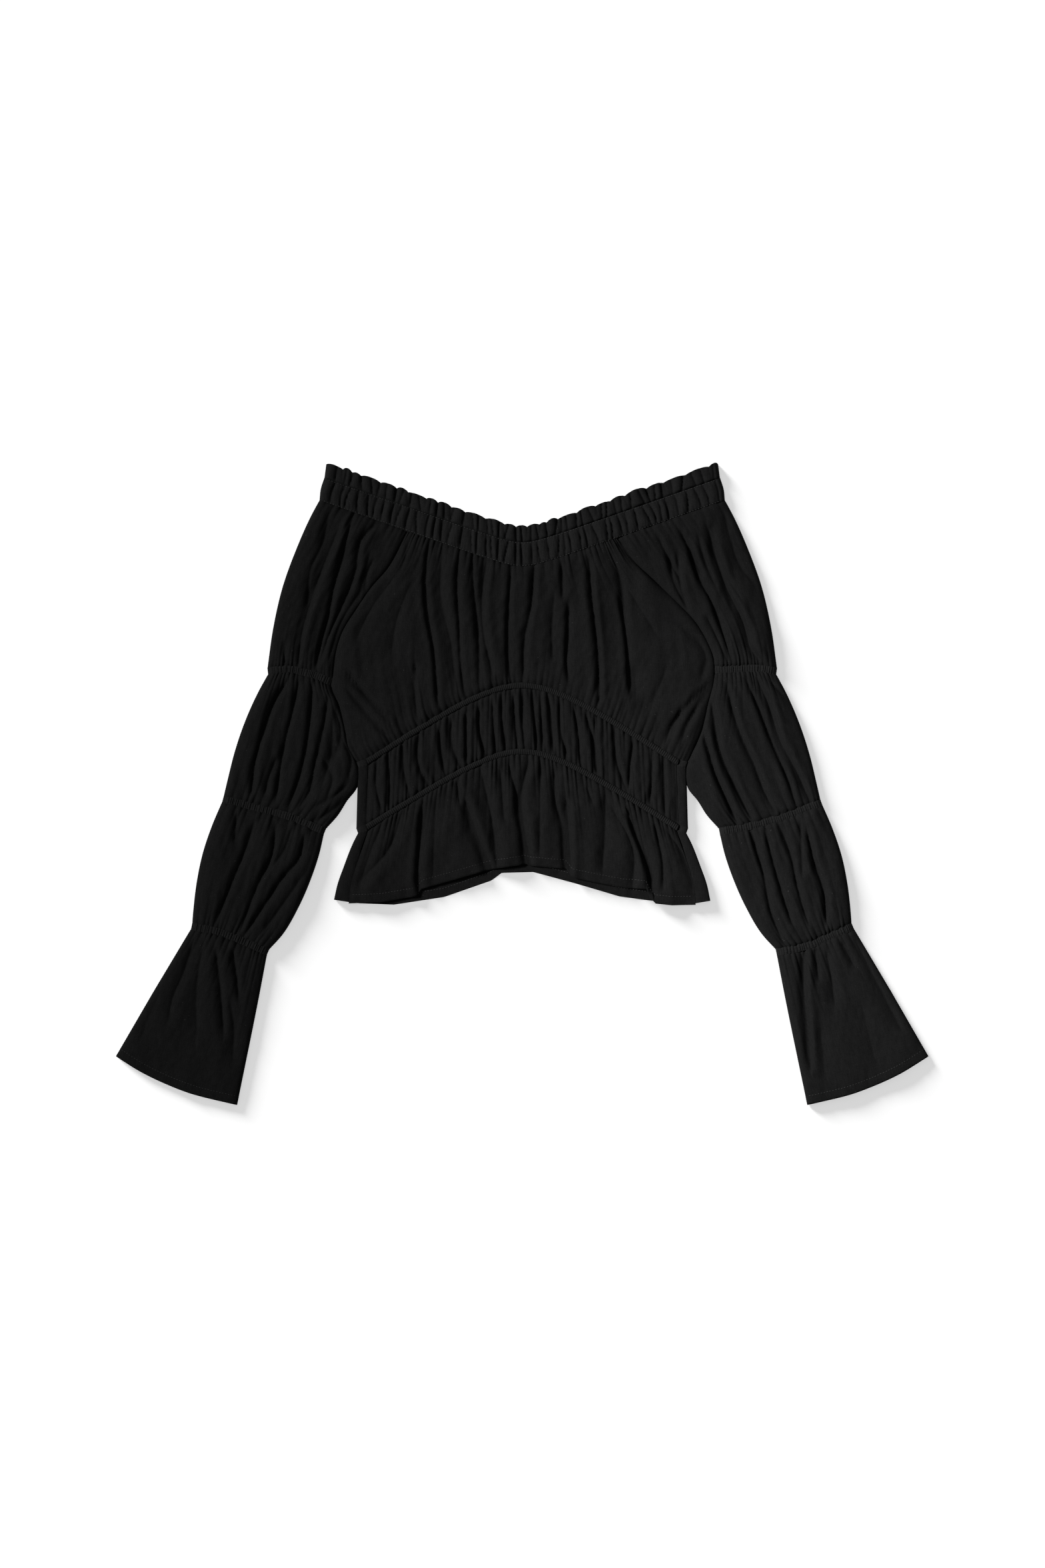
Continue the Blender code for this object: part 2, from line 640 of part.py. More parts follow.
def make_neck(finish, casing_finish, parent):
    """The elastic casing round the neck and the ruffle above it, both flattened loops with gathers."""
    shares = gather_shares()
    rise = gather_rise(shares)
    sides = []
    for towards in (-1, 1):
        foot = Point(towards * NECK_HALF_WIDTH, float(neck_line(NECK_HALF_WIDTH)))
        head = Point(towards * CASING_TOP_HALF_WIDTH, float(neck_line(CASING_TOP_HALF_WIDTH, CASING_HEIGHT)))
        middle = Point((foot.x + head.x) / 2 + towards * CASING_BULGE, (foot.y + head.y) / 2)
        sides.append(smooth_curve((head, middle, foot)))
    casing = patch(
        neck_curve(-CASING_TOP_HALF_WIDTH, CASING_TOP_HALF_WIDTH, CASING_HEIGHT),
        neck_curve(-NECK_HALF_WIDTH, NECK_HALF_WIDTH),
        sides[0],
        sides[1],
    )

    def casing_height(u, v):
        bulge = (1 + np.sin(pi * v)) / 2
        return LEAST_TOP + CASING_BASE + (CASING_PUFF + CASING_GATHER * rise) * bulge

    tube("neck_casing", casing, shares, NECK_STATIONS, NECK_UNDER_COLUMNS, casing_height, casing_finish, parent)

    scallop = RUFFLE_SCALLOP * (2 * rise - 1)
    foot_rise = CASING_HEIGHT + SEAM_GAP

    def ruffle_surface(u, v):
        u, v = np.broadcast_arrays(np.asarray(u, dtype=float), np.asarray(v, dtype=float))
        half = RUFFLE_HALF_WIDTH + (CASING_TOP_HALF_WIDTH - RUFFLE_HALF_WIDTH) * v
        x = half * (2 * u - 1)
        wave = np.interp(u, shares, scallop)
        y = neck_line(x, foot_rise) + (1 - v) * (RUFFLE_HEIGHT + wave)
        return np.stack([x, y], axis=-1)

    def ruffle_height(u, v):
        return LEAST_TOP + RUFFLE_BASE + RUFFLE_WAVE * rise * (1 - RUFFLE_TAPER * v)

    tube("neck_ruffle", ruffle_surface, shares, NECK_STATIONS, NECK_UNDER_COLUMNS, ruffle_height, finish, parent)


def make_arch(name, arch, finish, parent):
    """An elastic casing across the front, a rounded band along its arch."""
    centre = arch_curve(arch, CHANNEL_HALF_SPAN)
    places = np.linspace(0, 1, ARCH_COLUMNS + 1)
    outer, inner = [], []
    for side in CHANNEL_PROFILE:
        spots = shifted(centre, side * CHANNEL_WIDTH / 2)(places)
        lift = CHANNEL_LOFT * (1 - side**4)
        inner.append(np.column_stack([spots, np.full(places.shape, FRONT_UNDER + lift)]))
        outer.append(np.column_stack([spots, np.full(places.shape, FRONT_UNDER + WALL + lift)]))
    shell(name, np.array(outer), np.array(inner), False, finish, parent)


def between_curves(top, bottom):
    """Straight sides from one curve's ends to another's."""
    return [straight_curve((Point(*top(share)), Point(*bottom(share)))) for share in (0.0, 1.0)]


def body_sides(above_bust):
    """The two sides of the bodice, ending on the ends of the bust seam."""
    sides = []
    for points, share in ((LEFT_SIDE, 0.0), (RIGHT_SIDE, 1.0)):
        start = Point(points[0].x, float(neck_line(points[0].x)) - SEAM_GAP)
        sides.append(smooth_curve((start, *points[1:SIDE_ROWS_TO_BUST], Point(*above_bust(share)))))
    return sides


def make_front(cloth, channel, parent):
    """The front: bodice, bust elastic, midriff, waist elastic and peplum."""
    clear = CHANNEL_WIDTH / 2 + SEAM_GAP
    above_bust = shifted(arch_curve(BUST, BODY_HALF_WIDTH), clear)
    neck = bodice_neck_curve(-SEAM_GAP)
    bodice = patch(neck, above_bust, *body_sides(above_bust), BODICE_SIDE_POWER)
    front_wall("front_bodice", bodice, BODICE_COLUMNS, BODICE_STATIONS, BODICE_LOFT, BODICE_FOLDS, cloth, parent)

    below_bust = shifted(arch_curve(BUST, CHANNEL_HALF_SPAN), -clear)
    above_waist = shifted(arch_curve(WAIST, CHANNEL_HALF_SPAN), clear)
    midriff = patch(below_bust, above_waist, *between_curves(below_bust, above_waist))
    folds = [midriff_fold(row) for row in MIDRIFF_FOLDS]
    front_wall("front_midriff", midriff, MIDRIFF_COLUMNS, MIDRIFF_STATIONS, MIDRIFF_LOFT, folds, cloth, parent)

    for name, arch in (("bust_channel_front", BUST), ("waist_channel_front", WAIST)):
        make_arch(name, arch, channel, parent)

    below_waist = shifted(arch_curve(WAIST, CHANNEL_HALF_SPAN), -clear)
    hem = smooth_curve(FRONT_HEM)
    turns = np.linspace(TURN_WIDTH, HEM_TURN_WIDTH, len(PEPLUM_SIDE) + 2)[1:-1] + SIDE_GAP
    ends = []
    for towards, share in ((-1, 0.0), (1, 1.0)):
        side = [Point(towards * (p.x - turn), p.y) for p, turn in zip(PEPLUM_SIDE, turns)]
        ends.append(smooth_curve((Point(*below_waist(share)), *side, Point(*hem(share)))))
    peplum = patch(below_waist, hem, *ends)
    name, columns, stations = "front_peplum", PEPLUM_COLUMNS, PEPLUM_STATIONS
    front_wall(name, peplum, columns, stations, PEPLUM_LOFT, PEPLUM_FOLDS, cloth, parent, hem=True)


def make_back(cloth, channel, parent):
    """The back, flat under the front, its lower pieces and elastics turned round the sides."""
    clear = CHANNEL_WIDTH / 2 + SEAM_GAP
    half = CHANNEL_WIDTH / 2
    bust, waist = arch_curve(BUST, BODY_HALF_WIDTH), arch_curve(WAIST, BODY_HALF_WIDTH)
    above_bust = shifted(bust, clear)
    neck = bodice_neck_curve(-SEAM_GAP)
    bodice = patch(neck, above_bust, *body_sides(above_bust), BODICE_SIDE_POWER)
    back_wall("back_bodice", bodice, BACK_COLUMNS, BODICE_STATIONS, cloth, parent)

    below_bust, above_waist = shifted(bust, -clear), shifted(waist, clear)
    midriff = patch(below_bust, above_waist, *between_curves(below_bust, above_waist))
    turned_wall("back_midriff", midriff, BACK_COLUMNS, 2, (TURN_WIDTH, TURN_WIDTH), cloth, parent)

    for name, line in (("bust_channel_back", bust), ("waist_channel_back", waist)):
        top, bottom = shifted(line, half), shifted(line, -half)
        band = patch(top, bottom, *between_curves(top, bottom))
        turned_wall(name, band, BACK_COLUMNS, 1, (TURN_WIDTH, TURN_WIDTH), channel, parent)

    below_waist = shifted(waist, -clear)
    hem = smooth_curve(BACK_HEM)
    ends = []
    for towards, share in ((-1, 0.0), (1, 1.0)):
        side = [Point(towards * p.x, p.y) for p in PEPLUM_SIDE]
        ends.append(smooth_curve((Point(*below_waist(share)), *side, Point(*hem(share)))))
    peplum = patch(below_waist, hem, *ends)
    turned_wall("back_peplum", peplum, BACK_COLUMNS, 4, (TURN_WIDTH, HEM_TURN_WIDTH), cloth, parent)


def midriff_fold(row):
    """A midriff gather as a fold from the bust elastic to the waist elastic."""
    reach = CHANNEL_WIDTH / 2
    start = float(arch_height(BUST, row.top)) - reach
    end = float(arch_height(WAIST, row.bottom)) + reach
    return Fold(row.top, start, row.bottom, end, row.bow, row.depth, MIDRIFF_WIDTH)


def mirrored(points):
    """The same points on the other side of the middle."""
    return tuple(Point(-p.x, p.y) for p in points)


def make_sleeve(side, cloth, channel, parent):
    """One sleeve: four flattened tubes with an elastic between each two. It is made from the shoulder down."""
    left = side == "left"
    body = LEFT_SIDE if left else RIGHT_SIDE
    lines = (UPPER_LEFT, MIDDLE_LEFT, LOWER_LEFT) if left else (UPPER_RIGHT, MIDDLE_RIGHT, LOWER_RIGHT)
    side_of = (lambda points: points) if left else mirrored
    elastics = [smooth_curve(side_of(line)) for line in lines]
    outwards = -1.0 if left else 1.0
    clear = ELASTIC_WIDTH / 2 + SEAM_GAP
    bodies = side_curve(body, SIDE_GAP)
    above = [shifted(line, -outwards * clear) for line in elastics]
    below = [shifted(line, outwards * clear) for line in elastics]

    def between(curve, start, end):
        """An edge bent so that it starts and ends at two given points."""
        first, last = np.array(start) - curve(0.0), np.array(end) - curve(1.0)

        def at(share):
            share = np.asarray(share, dtype=float)[..., None]
            return curve(share[..., 0]) + (1 - share) * first + share * last

        return at

    shoulder_x = body[0].x + outwards * SIDE_GAP
    outer_x = outwards * (NECK_HALF_WIDTH - NECK_INSET)
    neck = neck_curve(outer_x, shoulder_x, -SEAM_GAP)
    outers = [smooth_curve(side_of(p)) for p in (SHOULDER_OUTER, ELBOW_OUTER, FOREARM_OUTER)]
    outers.append(straight_curve(side_of(CUFF_OUTER)))
    seam_end, underarm = Point(*above[0](1.0)), Point(*below[0](1.0))
    body_edge = [Point(*p) for p in bodies(np.linspace(0, 1, SIDE_SAMPLES))]
    raglan_points = [p for p in body_edge if p.y > seam_end.y + SIDE_STEP]
    raglan = smooth_curve((*raglan_points, seam_end))
    along_body = [p for p in body_edge if NOTCH_Y < p.y < underarm.y - SIDE_STEP]
    elbow_inner = smooth_curve((underarm, *along_body, *side_of(ELBOW_INNER_BELOW_BODY)))
    inners = [raglan, elbow_inner, smooth_curve(side_of(FOREARM_INNER)), smooth_curve(side_of(CUFF_INNER))]
    tops = [neck, below[0], below[1], below[2]]
    bottoms = [above[0], above[1], above[2], smooth_curve(side_of(CUFF_HEM))]
    names = ("shoulder", "elbow", "forearm", "cuff")
    shares = np.linspace(0, 1, SLEEVE_COLUMNS + 1)
    for name, top, bottom, outer, inner in zip(names, tops, bottoms, outers, inners):
        surface = patch(
            top,
            bottom,
            between(outer, top(0.0), bottom(0.0)),
            between(inner, top(1.0), bottom(1.0)),
        )
        hem = name == "cuff"
        loft = CUFF_LOFT if hem else SLEEVE_LOFT
        folds = SLEEVE_FOLDS[f"{name}_{side}"]

        def height(u, v, surface=surface, loft=loft, folds=folds, hem=hem):
            return cloth_top(surface, u, v, loft, folds, hem)[..., 2]

        stations = SLEEVE_STATIONS[name]
        tube(f"sleeve_{name}_{side}", surface, shares, stations, SLEEVE_UNDER_COLUMNS, height, cloth, parent)

    places = ("upper", "middle", "lower")
    narrow = ELASTIC_WIDTH / 2
    for name, line in zip(places, elastics):
        top, bottom = shifted(line, -outwards * narrow), shifted(line, outwards * narrow)
        ends = [straight_curve((Point(*top(s)), Point(*bottom(s)))) for s in (0.0, 1.0)]
        surface = patch(top, bottom, *ends)

        def band_height(u, v):
            return np.full(np.shape(u), ELASTIC_TOP)

        across = np.linspace(0, 1, ELASTIC_COLUMNS + 1)
        full_name = f"sleeve_elastic_{name}_{side}"
        tube(full_name, surface, across, (0.0, 1.0), SLEEVE_UNDER_COLUMNS, band_height, channel, parent)


def main():
    for old in list(bpy.data.objects):
        bpy.data.objects.remove(old)
    parent = bpy.data.objects.new("top", None)
    bpy.context.collection.objects.link(parent)
    cloth = material("black crepe cloth", (0.012, 0.012, 0.012), 0.92)
    channel = material("ruched elastic casing", (0.010, 0.010, 0.010), 0.95)
    make_neck(cloth, channel, parent)
    make_back(cloth, channel, parent)
    make_front(cloth, channel, parent)
    for side in ("left", "right"):
        make_sleeve(side, cloth, channel, parent)


main()
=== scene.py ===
"""The looks of a gathered off-the-shoulder top that lies flat: cloth, elastics, topstitching and stage.

Tables are in millimetres in the part's frame, with x to the right, y towards the neck and z up. Creases are
in pixels of the 1568 by 2352 photograph, from their upper end down. Properties are in metres.
"""

from collections import namedtuple
from math import cos, pi, radians, sin

import bpy
import numpy as np
from bpy.props import FloatProperty, FloatVectorProperty, PointerProperty
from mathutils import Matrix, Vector


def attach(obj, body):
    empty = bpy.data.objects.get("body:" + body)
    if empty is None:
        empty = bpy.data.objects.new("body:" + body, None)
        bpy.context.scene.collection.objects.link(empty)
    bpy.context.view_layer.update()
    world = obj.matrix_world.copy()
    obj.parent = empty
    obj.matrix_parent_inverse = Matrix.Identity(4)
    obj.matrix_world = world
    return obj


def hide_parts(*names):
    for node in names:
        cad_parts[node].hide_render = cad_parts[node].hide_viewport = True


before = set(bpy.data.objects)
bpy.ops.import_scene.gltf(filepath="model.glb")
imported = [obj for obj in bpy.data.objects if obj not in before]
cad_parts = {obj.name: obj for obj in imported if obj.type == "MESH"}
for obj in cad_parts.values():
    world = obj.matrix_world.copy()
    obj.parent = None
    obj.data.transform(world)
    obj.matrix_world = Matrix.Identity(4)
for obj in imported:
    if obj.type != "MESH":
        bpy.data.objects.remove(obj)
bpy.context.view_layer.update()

bl_info = {
    "name": "Gathered top",
    "version": (1, 0, 0),
    "blender": (4, 5, 0),
    "location": "3D View > Sidebar > Gathered top",
    "description": "Makes the cloth, elastics and topstitching of a gathered top that lies flat",
    "category": "Add Mesh",
}

MM = 0.001
PIXEL = 0.65
PHOTO_MIDDLE = (783.5, 1175.5)

# Seams: pieces run this far under the elastics between them
OVERLAP = 0.7
SIDE_OVERLAP = 1.4

Point = namedtuple("Point", "x y")
Arch = namedtuple("Arch", "top slope rounding")
Crease = namedtuple("Crease", "depth width lean points")
Gathers = namedtuple("Gathers", "valleys heights reaches")


def outline(*pairs):
    """Points from pairs of millimetres."""
    return tuple(Point(*pair) for pair in pairs)


def crease_rows(*rows):
    """Creases from rows that give a depth, a width, a lean and then the points."""
    return tuple(Crease(depth, width, lean, points) for depth, width, lean, *points in rows)


# Neck
NECK_LOW = 211.0
NECK_SLOPE = 0.352
NECK_ROUND = 15.0
NECK_HALF_WIDTH = 197.6
CASING_TOP_HALF_WIDTH = 192.8
CASING_HEIGHT = 24.4
CASING_BULGE = 1.2
RUFFLE_HEIGHT = 15.4
RUFFLE_HALF_WIDTH = 191.0
RUFFLE_FOOT = 0.7
SCALLOP = 3.6
FLARE = 0.6
RUFFLE_PLEAT = 0.75
FOOT_WAVE = 0.1
EDGE_WAVE = 0.5
NECK_LEAN = (1.5, -4.0)
NECK_ROLL = 2.0
# Painted light: the ruched casings and the ruffle get the cloth colour made paler, as if more light fell on
# them
RUCHED_PAINTED_LIGHT = 1.4
PLEAT_SLANT = 0.006
SLANT_SWAYS = (44, 97)
PLEAT_POWER = 0.75
CASING_PUFF = 4.2
SMALL_PLEATS_INSIDE = 0.2
SMALL_PLEATS_AT_STITCHES = 1.1
LEAST_PUFF = 0.6
UNDER_PLEAT = 0.35
PUFF_POWER = 0.35
CASING_PLEAT_PITCH = 8.2
SMALL_PLEAT_PITCH = 3.6
RUFFLE_WAVE_PITCH = 15.0

# Bust and waist elastics
BUST = Arch(top=95.6, slope=0.68, rounding=50.0)
WAIST = Arch(top=31.2, slope=0.655, rounding=45.0)
CHANNEL_WIDTH = 6.2
CHANNEL_PROUD = 0.2
CHANNEL_HALF_SPAN = 151.0
END_SLOPE = 0.35
BODY_HALF_WIDTH = 160.8
BODICE_SPREAD = (134.5, 101.0)
BODICE_SIDE_POWER = 3
SIDE_ROWS_TO_BUST = 11
SIDE_SAMPLES = 24
SIDE_STEP = 4.0
NOTCH_Y = -2.0
BELOW_BUST = (20.3, -4.0, -41.0)
TURN_WIDTH = 9.6
HEM_TURN_WIDTH = 14.4

LEFT_SIDE = outline(
    (-112, 242), (-132, 209), (-147, 192), (-162, 170), (-176, 147), (-182, 128), (-184.8, 107),
    (-186, 93), (-179.5, 77), (-173, 51), (-169, 33), (-163, 17), (-161.6, -4), (-160, -41),
)
RIGHT_SIDE = outline(
    (93, 237), (111, 215), (129, 198), (154, 174), (169, 158), (181, 138), (187, 122), (187.8, 102),
    (182.5, 82), (175, 51), (168, 34), (162.5, 17), (162, -4), (160, -41),
)
PEPLUM_SIDE = outline((164.5, -57), (174, -81), (180, -98))
FRONT_HEM = outline(
    (-169, -116.6), (-138, -115.6), (-103, -109.6), (-98, -102.6), (-66, -93.6), (-34, -84.4), (-27, -83),
    (4, -78.4), (7, -79.8), (43, -83), (49, -91.5), (80, -97.8), (101, -101.6), (121, -102.6),
    (124.5, -111), (130, -116.8), (146, -118.4), (169, -118),
)
BACK_HEM = outline(
    (-183.4, -113), (-160, -116.6), (-125, -118), (-76, -110.5), (-30, -94.5), (-20, -87), (11, -86.2),
    (51, -97), (95, -110), (121, -113.5), (160, -118), (183.4, -114),
)

# Sleeves: edges of the left one, which the right one mirrors. The right elastics are given mirrored too
SHOULDER_OUTER = outline(
    (-197.8, 275), (-206, 259.5), (-219.5, 228.5), (-232.4, 192), (-241, 153), (-246.2, 113.5),
)
ELBOW_OUTER = outline((-249.5, 105.5), (-259, 88), (-270.5, 62), (-280.5, 32), (-287, 5), (-290.5, -10.5))
FOREARM_OUTER = outline(
    (-293, -18), (-303, -41.5), (-311.8, -68), (-317.5, -96), (-320.5, -122), (-321.5, -134.5),
)
CUFF_OUTER = outline((-323.5, -142.5), (-360, -203.5), (-396, -265.5))
ELBOW_INNER_BELOW_BODY = outline((-161, -4), (-170, -15.5), (-178.5, -29), (-190.5, -42.5))
FOREARM_INNER = outline(
    (-194, -50.5), (-197.9, -68), (-206.5, -94), (-218, -120), (-233.5, -146), (-246, -159.5),
)
CUFF_INNER = outline((-249.5, -168), (-255.2, -199), (-277.8, -313))
CUFF_HEM = outline((-396, -265.5), (-365.6, -283.7), (-326, -300.6), (-277.8, -313))
ELASTIC_WIDTH = 7.0
ELASTIC_PROUD = 0.4
SLEEVE_LEAN = 0.25
SLEEVE_SEEDS = {"left": 50, "right": 70}
CUFF_WAVY = 0.5
ELASTIC_LINES = {
    "left": (
        outline((-248, 109.5), (-230, 111.5), (-211, 108.2), (-184.6, 98.6)),
        outline((-291.6, -14.6), (-260, -23), (-227, -31.8), (-192.2, -46.5)),
        outline((-322.2, -138.6), (-298, -143.5), (-276, -151.2), (-247.6, -164)),
    ),
    "right": (
        outline((-248, 109.5), (-230, 112), (-211, 112), (-186, 110.8)),
        outline((-291.6, -18), (-266, -27.6), (-232, -38.8), (-192.2, -46.5)),
        outline((-322.2, -138.6), (-300, -148), (-276, -158), (-247.6, -164)),
    ),
}

# Heights over the floor, in millimetres
FLOOR_GAP = 0.12
FRONT_BASE = 3.5
LEAST_FRONT = 2.6
FLOOR_HARDNESS = 2.5
FRONT_EDGE = FRONT_BASE + 0.6
BODICE_EDGE = 2.7
SLEEVE_EDGE = 1.8
BODICE_LOFT = 4.4
MIDRIFF_LOFT = 2.6
PEPLUM_LOFT = 3.6
SLEEVE_LOFT = 4.6
CUFF_LOFT = 3.4
CHANNEL_BASE = 3.4
CHANNEL_LOFT = 2.6
RETURN_TOP = 4.6
BACK_MOST = 1.6
SEAM_DIP = 0.62
SEAM_REACH = 8.0
SIDE_ROLL = 5.0
EDGE_REACH = 1.3
EDGE_TUCK = 1.6
TUCK = 1.5
TUCK_REACH = 1.1
HEM_GROOVE = 0.3
UNDER_STITCHES = 0.18
HEM_DROOP = 2.2
HEM_DROOP_REACH = 14.0
HEM_GROOVE_WIDTH = 0.7
FRONT_HEM_TURN = (0.35, 0.7, 0.75)
CUFF_HEM_TURN = (0.3, 0.6, 0.7)
CORNER_HEIGHT = 0.7
CORNER_SHARE = 0.3

# A back piece's turn round the side: shares of its strip, then distances from the edge, each with a height
STRIP_TURN = ((1.0, RETURN_TOP - 0.9), (0.9, RETURN_TOP - 0.4), (0.7, RETURN_TOP), (0.45, RETURN_TOP + 0.1))
EDGE_TURN = ((1.7, RETURN_TOP - 0.1), (0.5, RETURN_TOP - 0.9), (0.0, RETURN_TOP / 2), (0.4, 0.8))

# Waves of the cloth: the range of their lengths, and their height
WIDE_WAVES = ((26, 60), 0.8)
SHORT_WAVES = ((7, 15), 0.2)
UNDER_WAVES = ((18, 44), 0.35)
STRIP_WAVES = (5, 16)
WAVE_COUNT = 9
WAVE_TURN = 0.4
UNDER_CREASE = 0.42
UNDER_GATHER = 0.8

# A crease is a slit in a valley with a ridge at each side, sized by its own depth and width
VALLEY = 0.45
VALLEY_WIDTH = 1.4
SLIT = 0.55
SLIT_WIDTH = 0.5
RIDGE = 0.07
RIDGE_PLACE = 2.8
RIDGE_WIDTH = 1.4
LEAN_STEP = 0.45
LEAN_WIDTH = 2.2
END_DEPTH = 0.45
END_RATE = 5

# Gathers: how uneven they are, and how they fade away from their seam in a near part and a far one
GATHER_STEPS = (0.55, 1.45)
GATHER_HEIGHTS = (0.4, 1.0)
GATHER_REACHES = 0.45
NEAR_FADE = 0.65
FAR_FADE = 0.35
FAR_REACH = 3.0
GATHER_POWER = 0.6
NO_FADE = 1e6

# Lengths of the gathered seams
NECK_SEAM = 260
BUST_SEAM = 360
FRONT_SEAM = 330
BACK_SEAM = 322
SLEEVE_SEAM = 90

# Cut sizes, all round on a tube, and how much of such a rectangle a shaped piece fills
SLEEVE_CUTS = {"shoulder": (230, 145), "elbow": (250, 150), "forearm": (250, 130), "cuff": (270, 150)}
ELASTIC_CUT_FULLNESS = 2.6
ELASTIC_CUT_WIDTH = 10


# Creases that the photograph shows: depth, width, lean and points. A lean over 0 lifts the right-hand side
BODICE_CREASES = crease_rows(
    (1.3, 3.0, 0.0, (613, 800), (608, 840), (602, 856)),
    (2.7, 1.9, -0.35, (644, 811), (638, 870), (641, 921), (650, 969), (655, 1025), (657, 1058)),
    (2.4, 4.0, 0.8, (664, 823), (662, 893), (678, 969), (683, 1019)),
    (2.6, 2.2, 0.0, (689, 834), (686, 873), (689, 935), (693, 1011), (697, 1044)),
    (2.2, 2.2, 0.3, (709, 834), (711, 884), (717, 941), (720, 1027)),
    (3.2, 3.0, 0.8, (731, 842), (724, 893), (725, 941), (739, 1008)),
    (2.6, 2.2, -0.3, (768, 848), (763, 913), (762, 983), (765, 1022)),
    (3.2, 2.2, 0.4, (802, 851), (797, 913), (788, 957), (786, 1019)),
    (1.8, 3.4, 0.0, (832, 890), (828, 955), (830, 991)),
    (2.2, 2.4, 0.0, (843, 845), (844, 898)),
    (2.6, 2.2, -0.3, (853, 907), (852, 957), (850, 997), (853, 1022)),
    (4.0, 2.2, 0.4, (884, 840), (888, 896), (892, 929), (898, 991), (899, 1050)),
    (2.4, 3.0, 0.3, (915, 826), (929, 862), (937, 913)),
    (3.0, 2.2, -0.4, (931, 898), (940, 963), (946, 1039)),
    (2.6, 6.0, 0.0, (952, 1000), (955, 1045)),
    (2.2, 2.4, 0.3, (624, 994), (623, 1030), (627, 1081)),
    (3.2, 2.6, 0.3, (520, 1010), (540, 1031), (564, 1058), (581, 1075)),
    (2.4, 2.4, 0.0, (522, 1036), (550, 1068), (569, 1090), (586, 1109)),
    (1.6, 2.6, 0.0, (508, 1065), (523, 1107), (540, 1138)),
    (1.2, 3.0, 0.0, (560, 1040), (590, 1072), (612, 1096)),
    (1.8, 3.4, 0.0, (1018, 938), (1052, 968), (1060, 990), (1050, 1022)),
    (2.2, 2.0, -0.3, (1069, 1022), (1038, 1050), (1024, 1067), (1010, 1089)),
    (1.9, 2.0, 0.3, (1072, 1028), (1049, 1056), (1030, 1086)),
    (2.0, 2.6, 0.0, (1022, 1064), (1006, 1092), (998, 1114)),
    (1.8, 2.4, 0.0, (1046, 1063), (1027, 1097), (1022, 1114)),
    (1.6, 5.0, 0.0, (590, 870), (560, 910), (535, 960)),
    (1.4, 5.0, 0.0, (615, 880), (596, 930), (588, 980)),
    (1.6, 6.0, 0.0, (940, 880), (968, 925), (990, 960)),
    (1.4, 6.0, 0.0, (1000, 1000), (985, 1040), (966, 1070)),
    (2.0, 2.6, 0.0, (925, 812), (948, 838), (968, 852)),
    (1.4, 3.0, 0.0, (972, 855), (1006, 890), (1040, 920)),
)
MIDRIFF_CREASES = crease_rows(
    (2.0, 1.8, 0.0, (566, 1138), (565, 1180), (575, 1222)),
    (1.8, 1.8, 0.0, (582, 1128), (585, 1170), (584, 1215)),
    (2.8, 1.9, 0.4, (605, 1114), (606, 1150), (614, 1190)),
    (3.2, 1.9, 0.5, (629, 1104), (627, 1135), (633, 1160), (643, 1176)),
    (2.2, 1.7, -0.3, (659, 1095), (662, 1130), (668, 1162)),
    (2.6, 1.8, 0.3, (678, 1082), (678, 1112), (692, 1152)),
    (2.8, 1.8, 0.0, (699, 1072), (700, 1110), (700, 1142)),
    (2.6, 1.8, -0.3, (719, 1060), (720, 1100), (729, 1137)),
    (2.6, 1.7, 0.3, (739, 1048), (741, 1090), (744, 1128)),
    (2.2, 1.7, 0.0, (753, 1042), (754, 1085), (759, 1123)),
    (2.6, 1.7, 0.3, (770, 1038), (773, 1080), (777, 1120)),
    (2.0, 1.7, 0.0, (785, 1037), (784, 1080), (787, 1120)),
    (2.6, 1.7, -0.3, (799, 1038), (802, 1082), (805, 1120)),
    (2.4, 1.7, 0.3, (811, 1041), (813, 1085), (816, 1122)),
    (2.8, 1.7, 0.0, (823, 1045), (828, 1090), (830, 1126)),
    (2.2, 1.8, 0.3, (840, 1050), (842, 1098), (852, 1136)),
    (2.2, 1.8, -0.3, (860, 1058), (868, 1105), (870, 1146)),
    (2.8, 1.8, 0.4, (878, 1068), (890, 1110), (896, 1158)),
    (1.8, 1.8, 0.0, (892, 1075), (893, 1120), (896, 1160)),
    (2.8, 1.8, 0.3, (922, 1092), (925, 1140), (938, 1180)),
    (2.4, 1.8, 0.0, (951, 1108), (945, 1150), (943, 1185)),
    (2.0, 1.8, 0.0, (977, 1122), (978, 1165), (975, 1205)),
    (2.8, 1.8, 0.3, (995, 1134), (997, 1180), (998, 1220)),
    (2.0, 1.8, 0.0, (1012, 1142), (1018, 1190), (1016, 1232)),
)
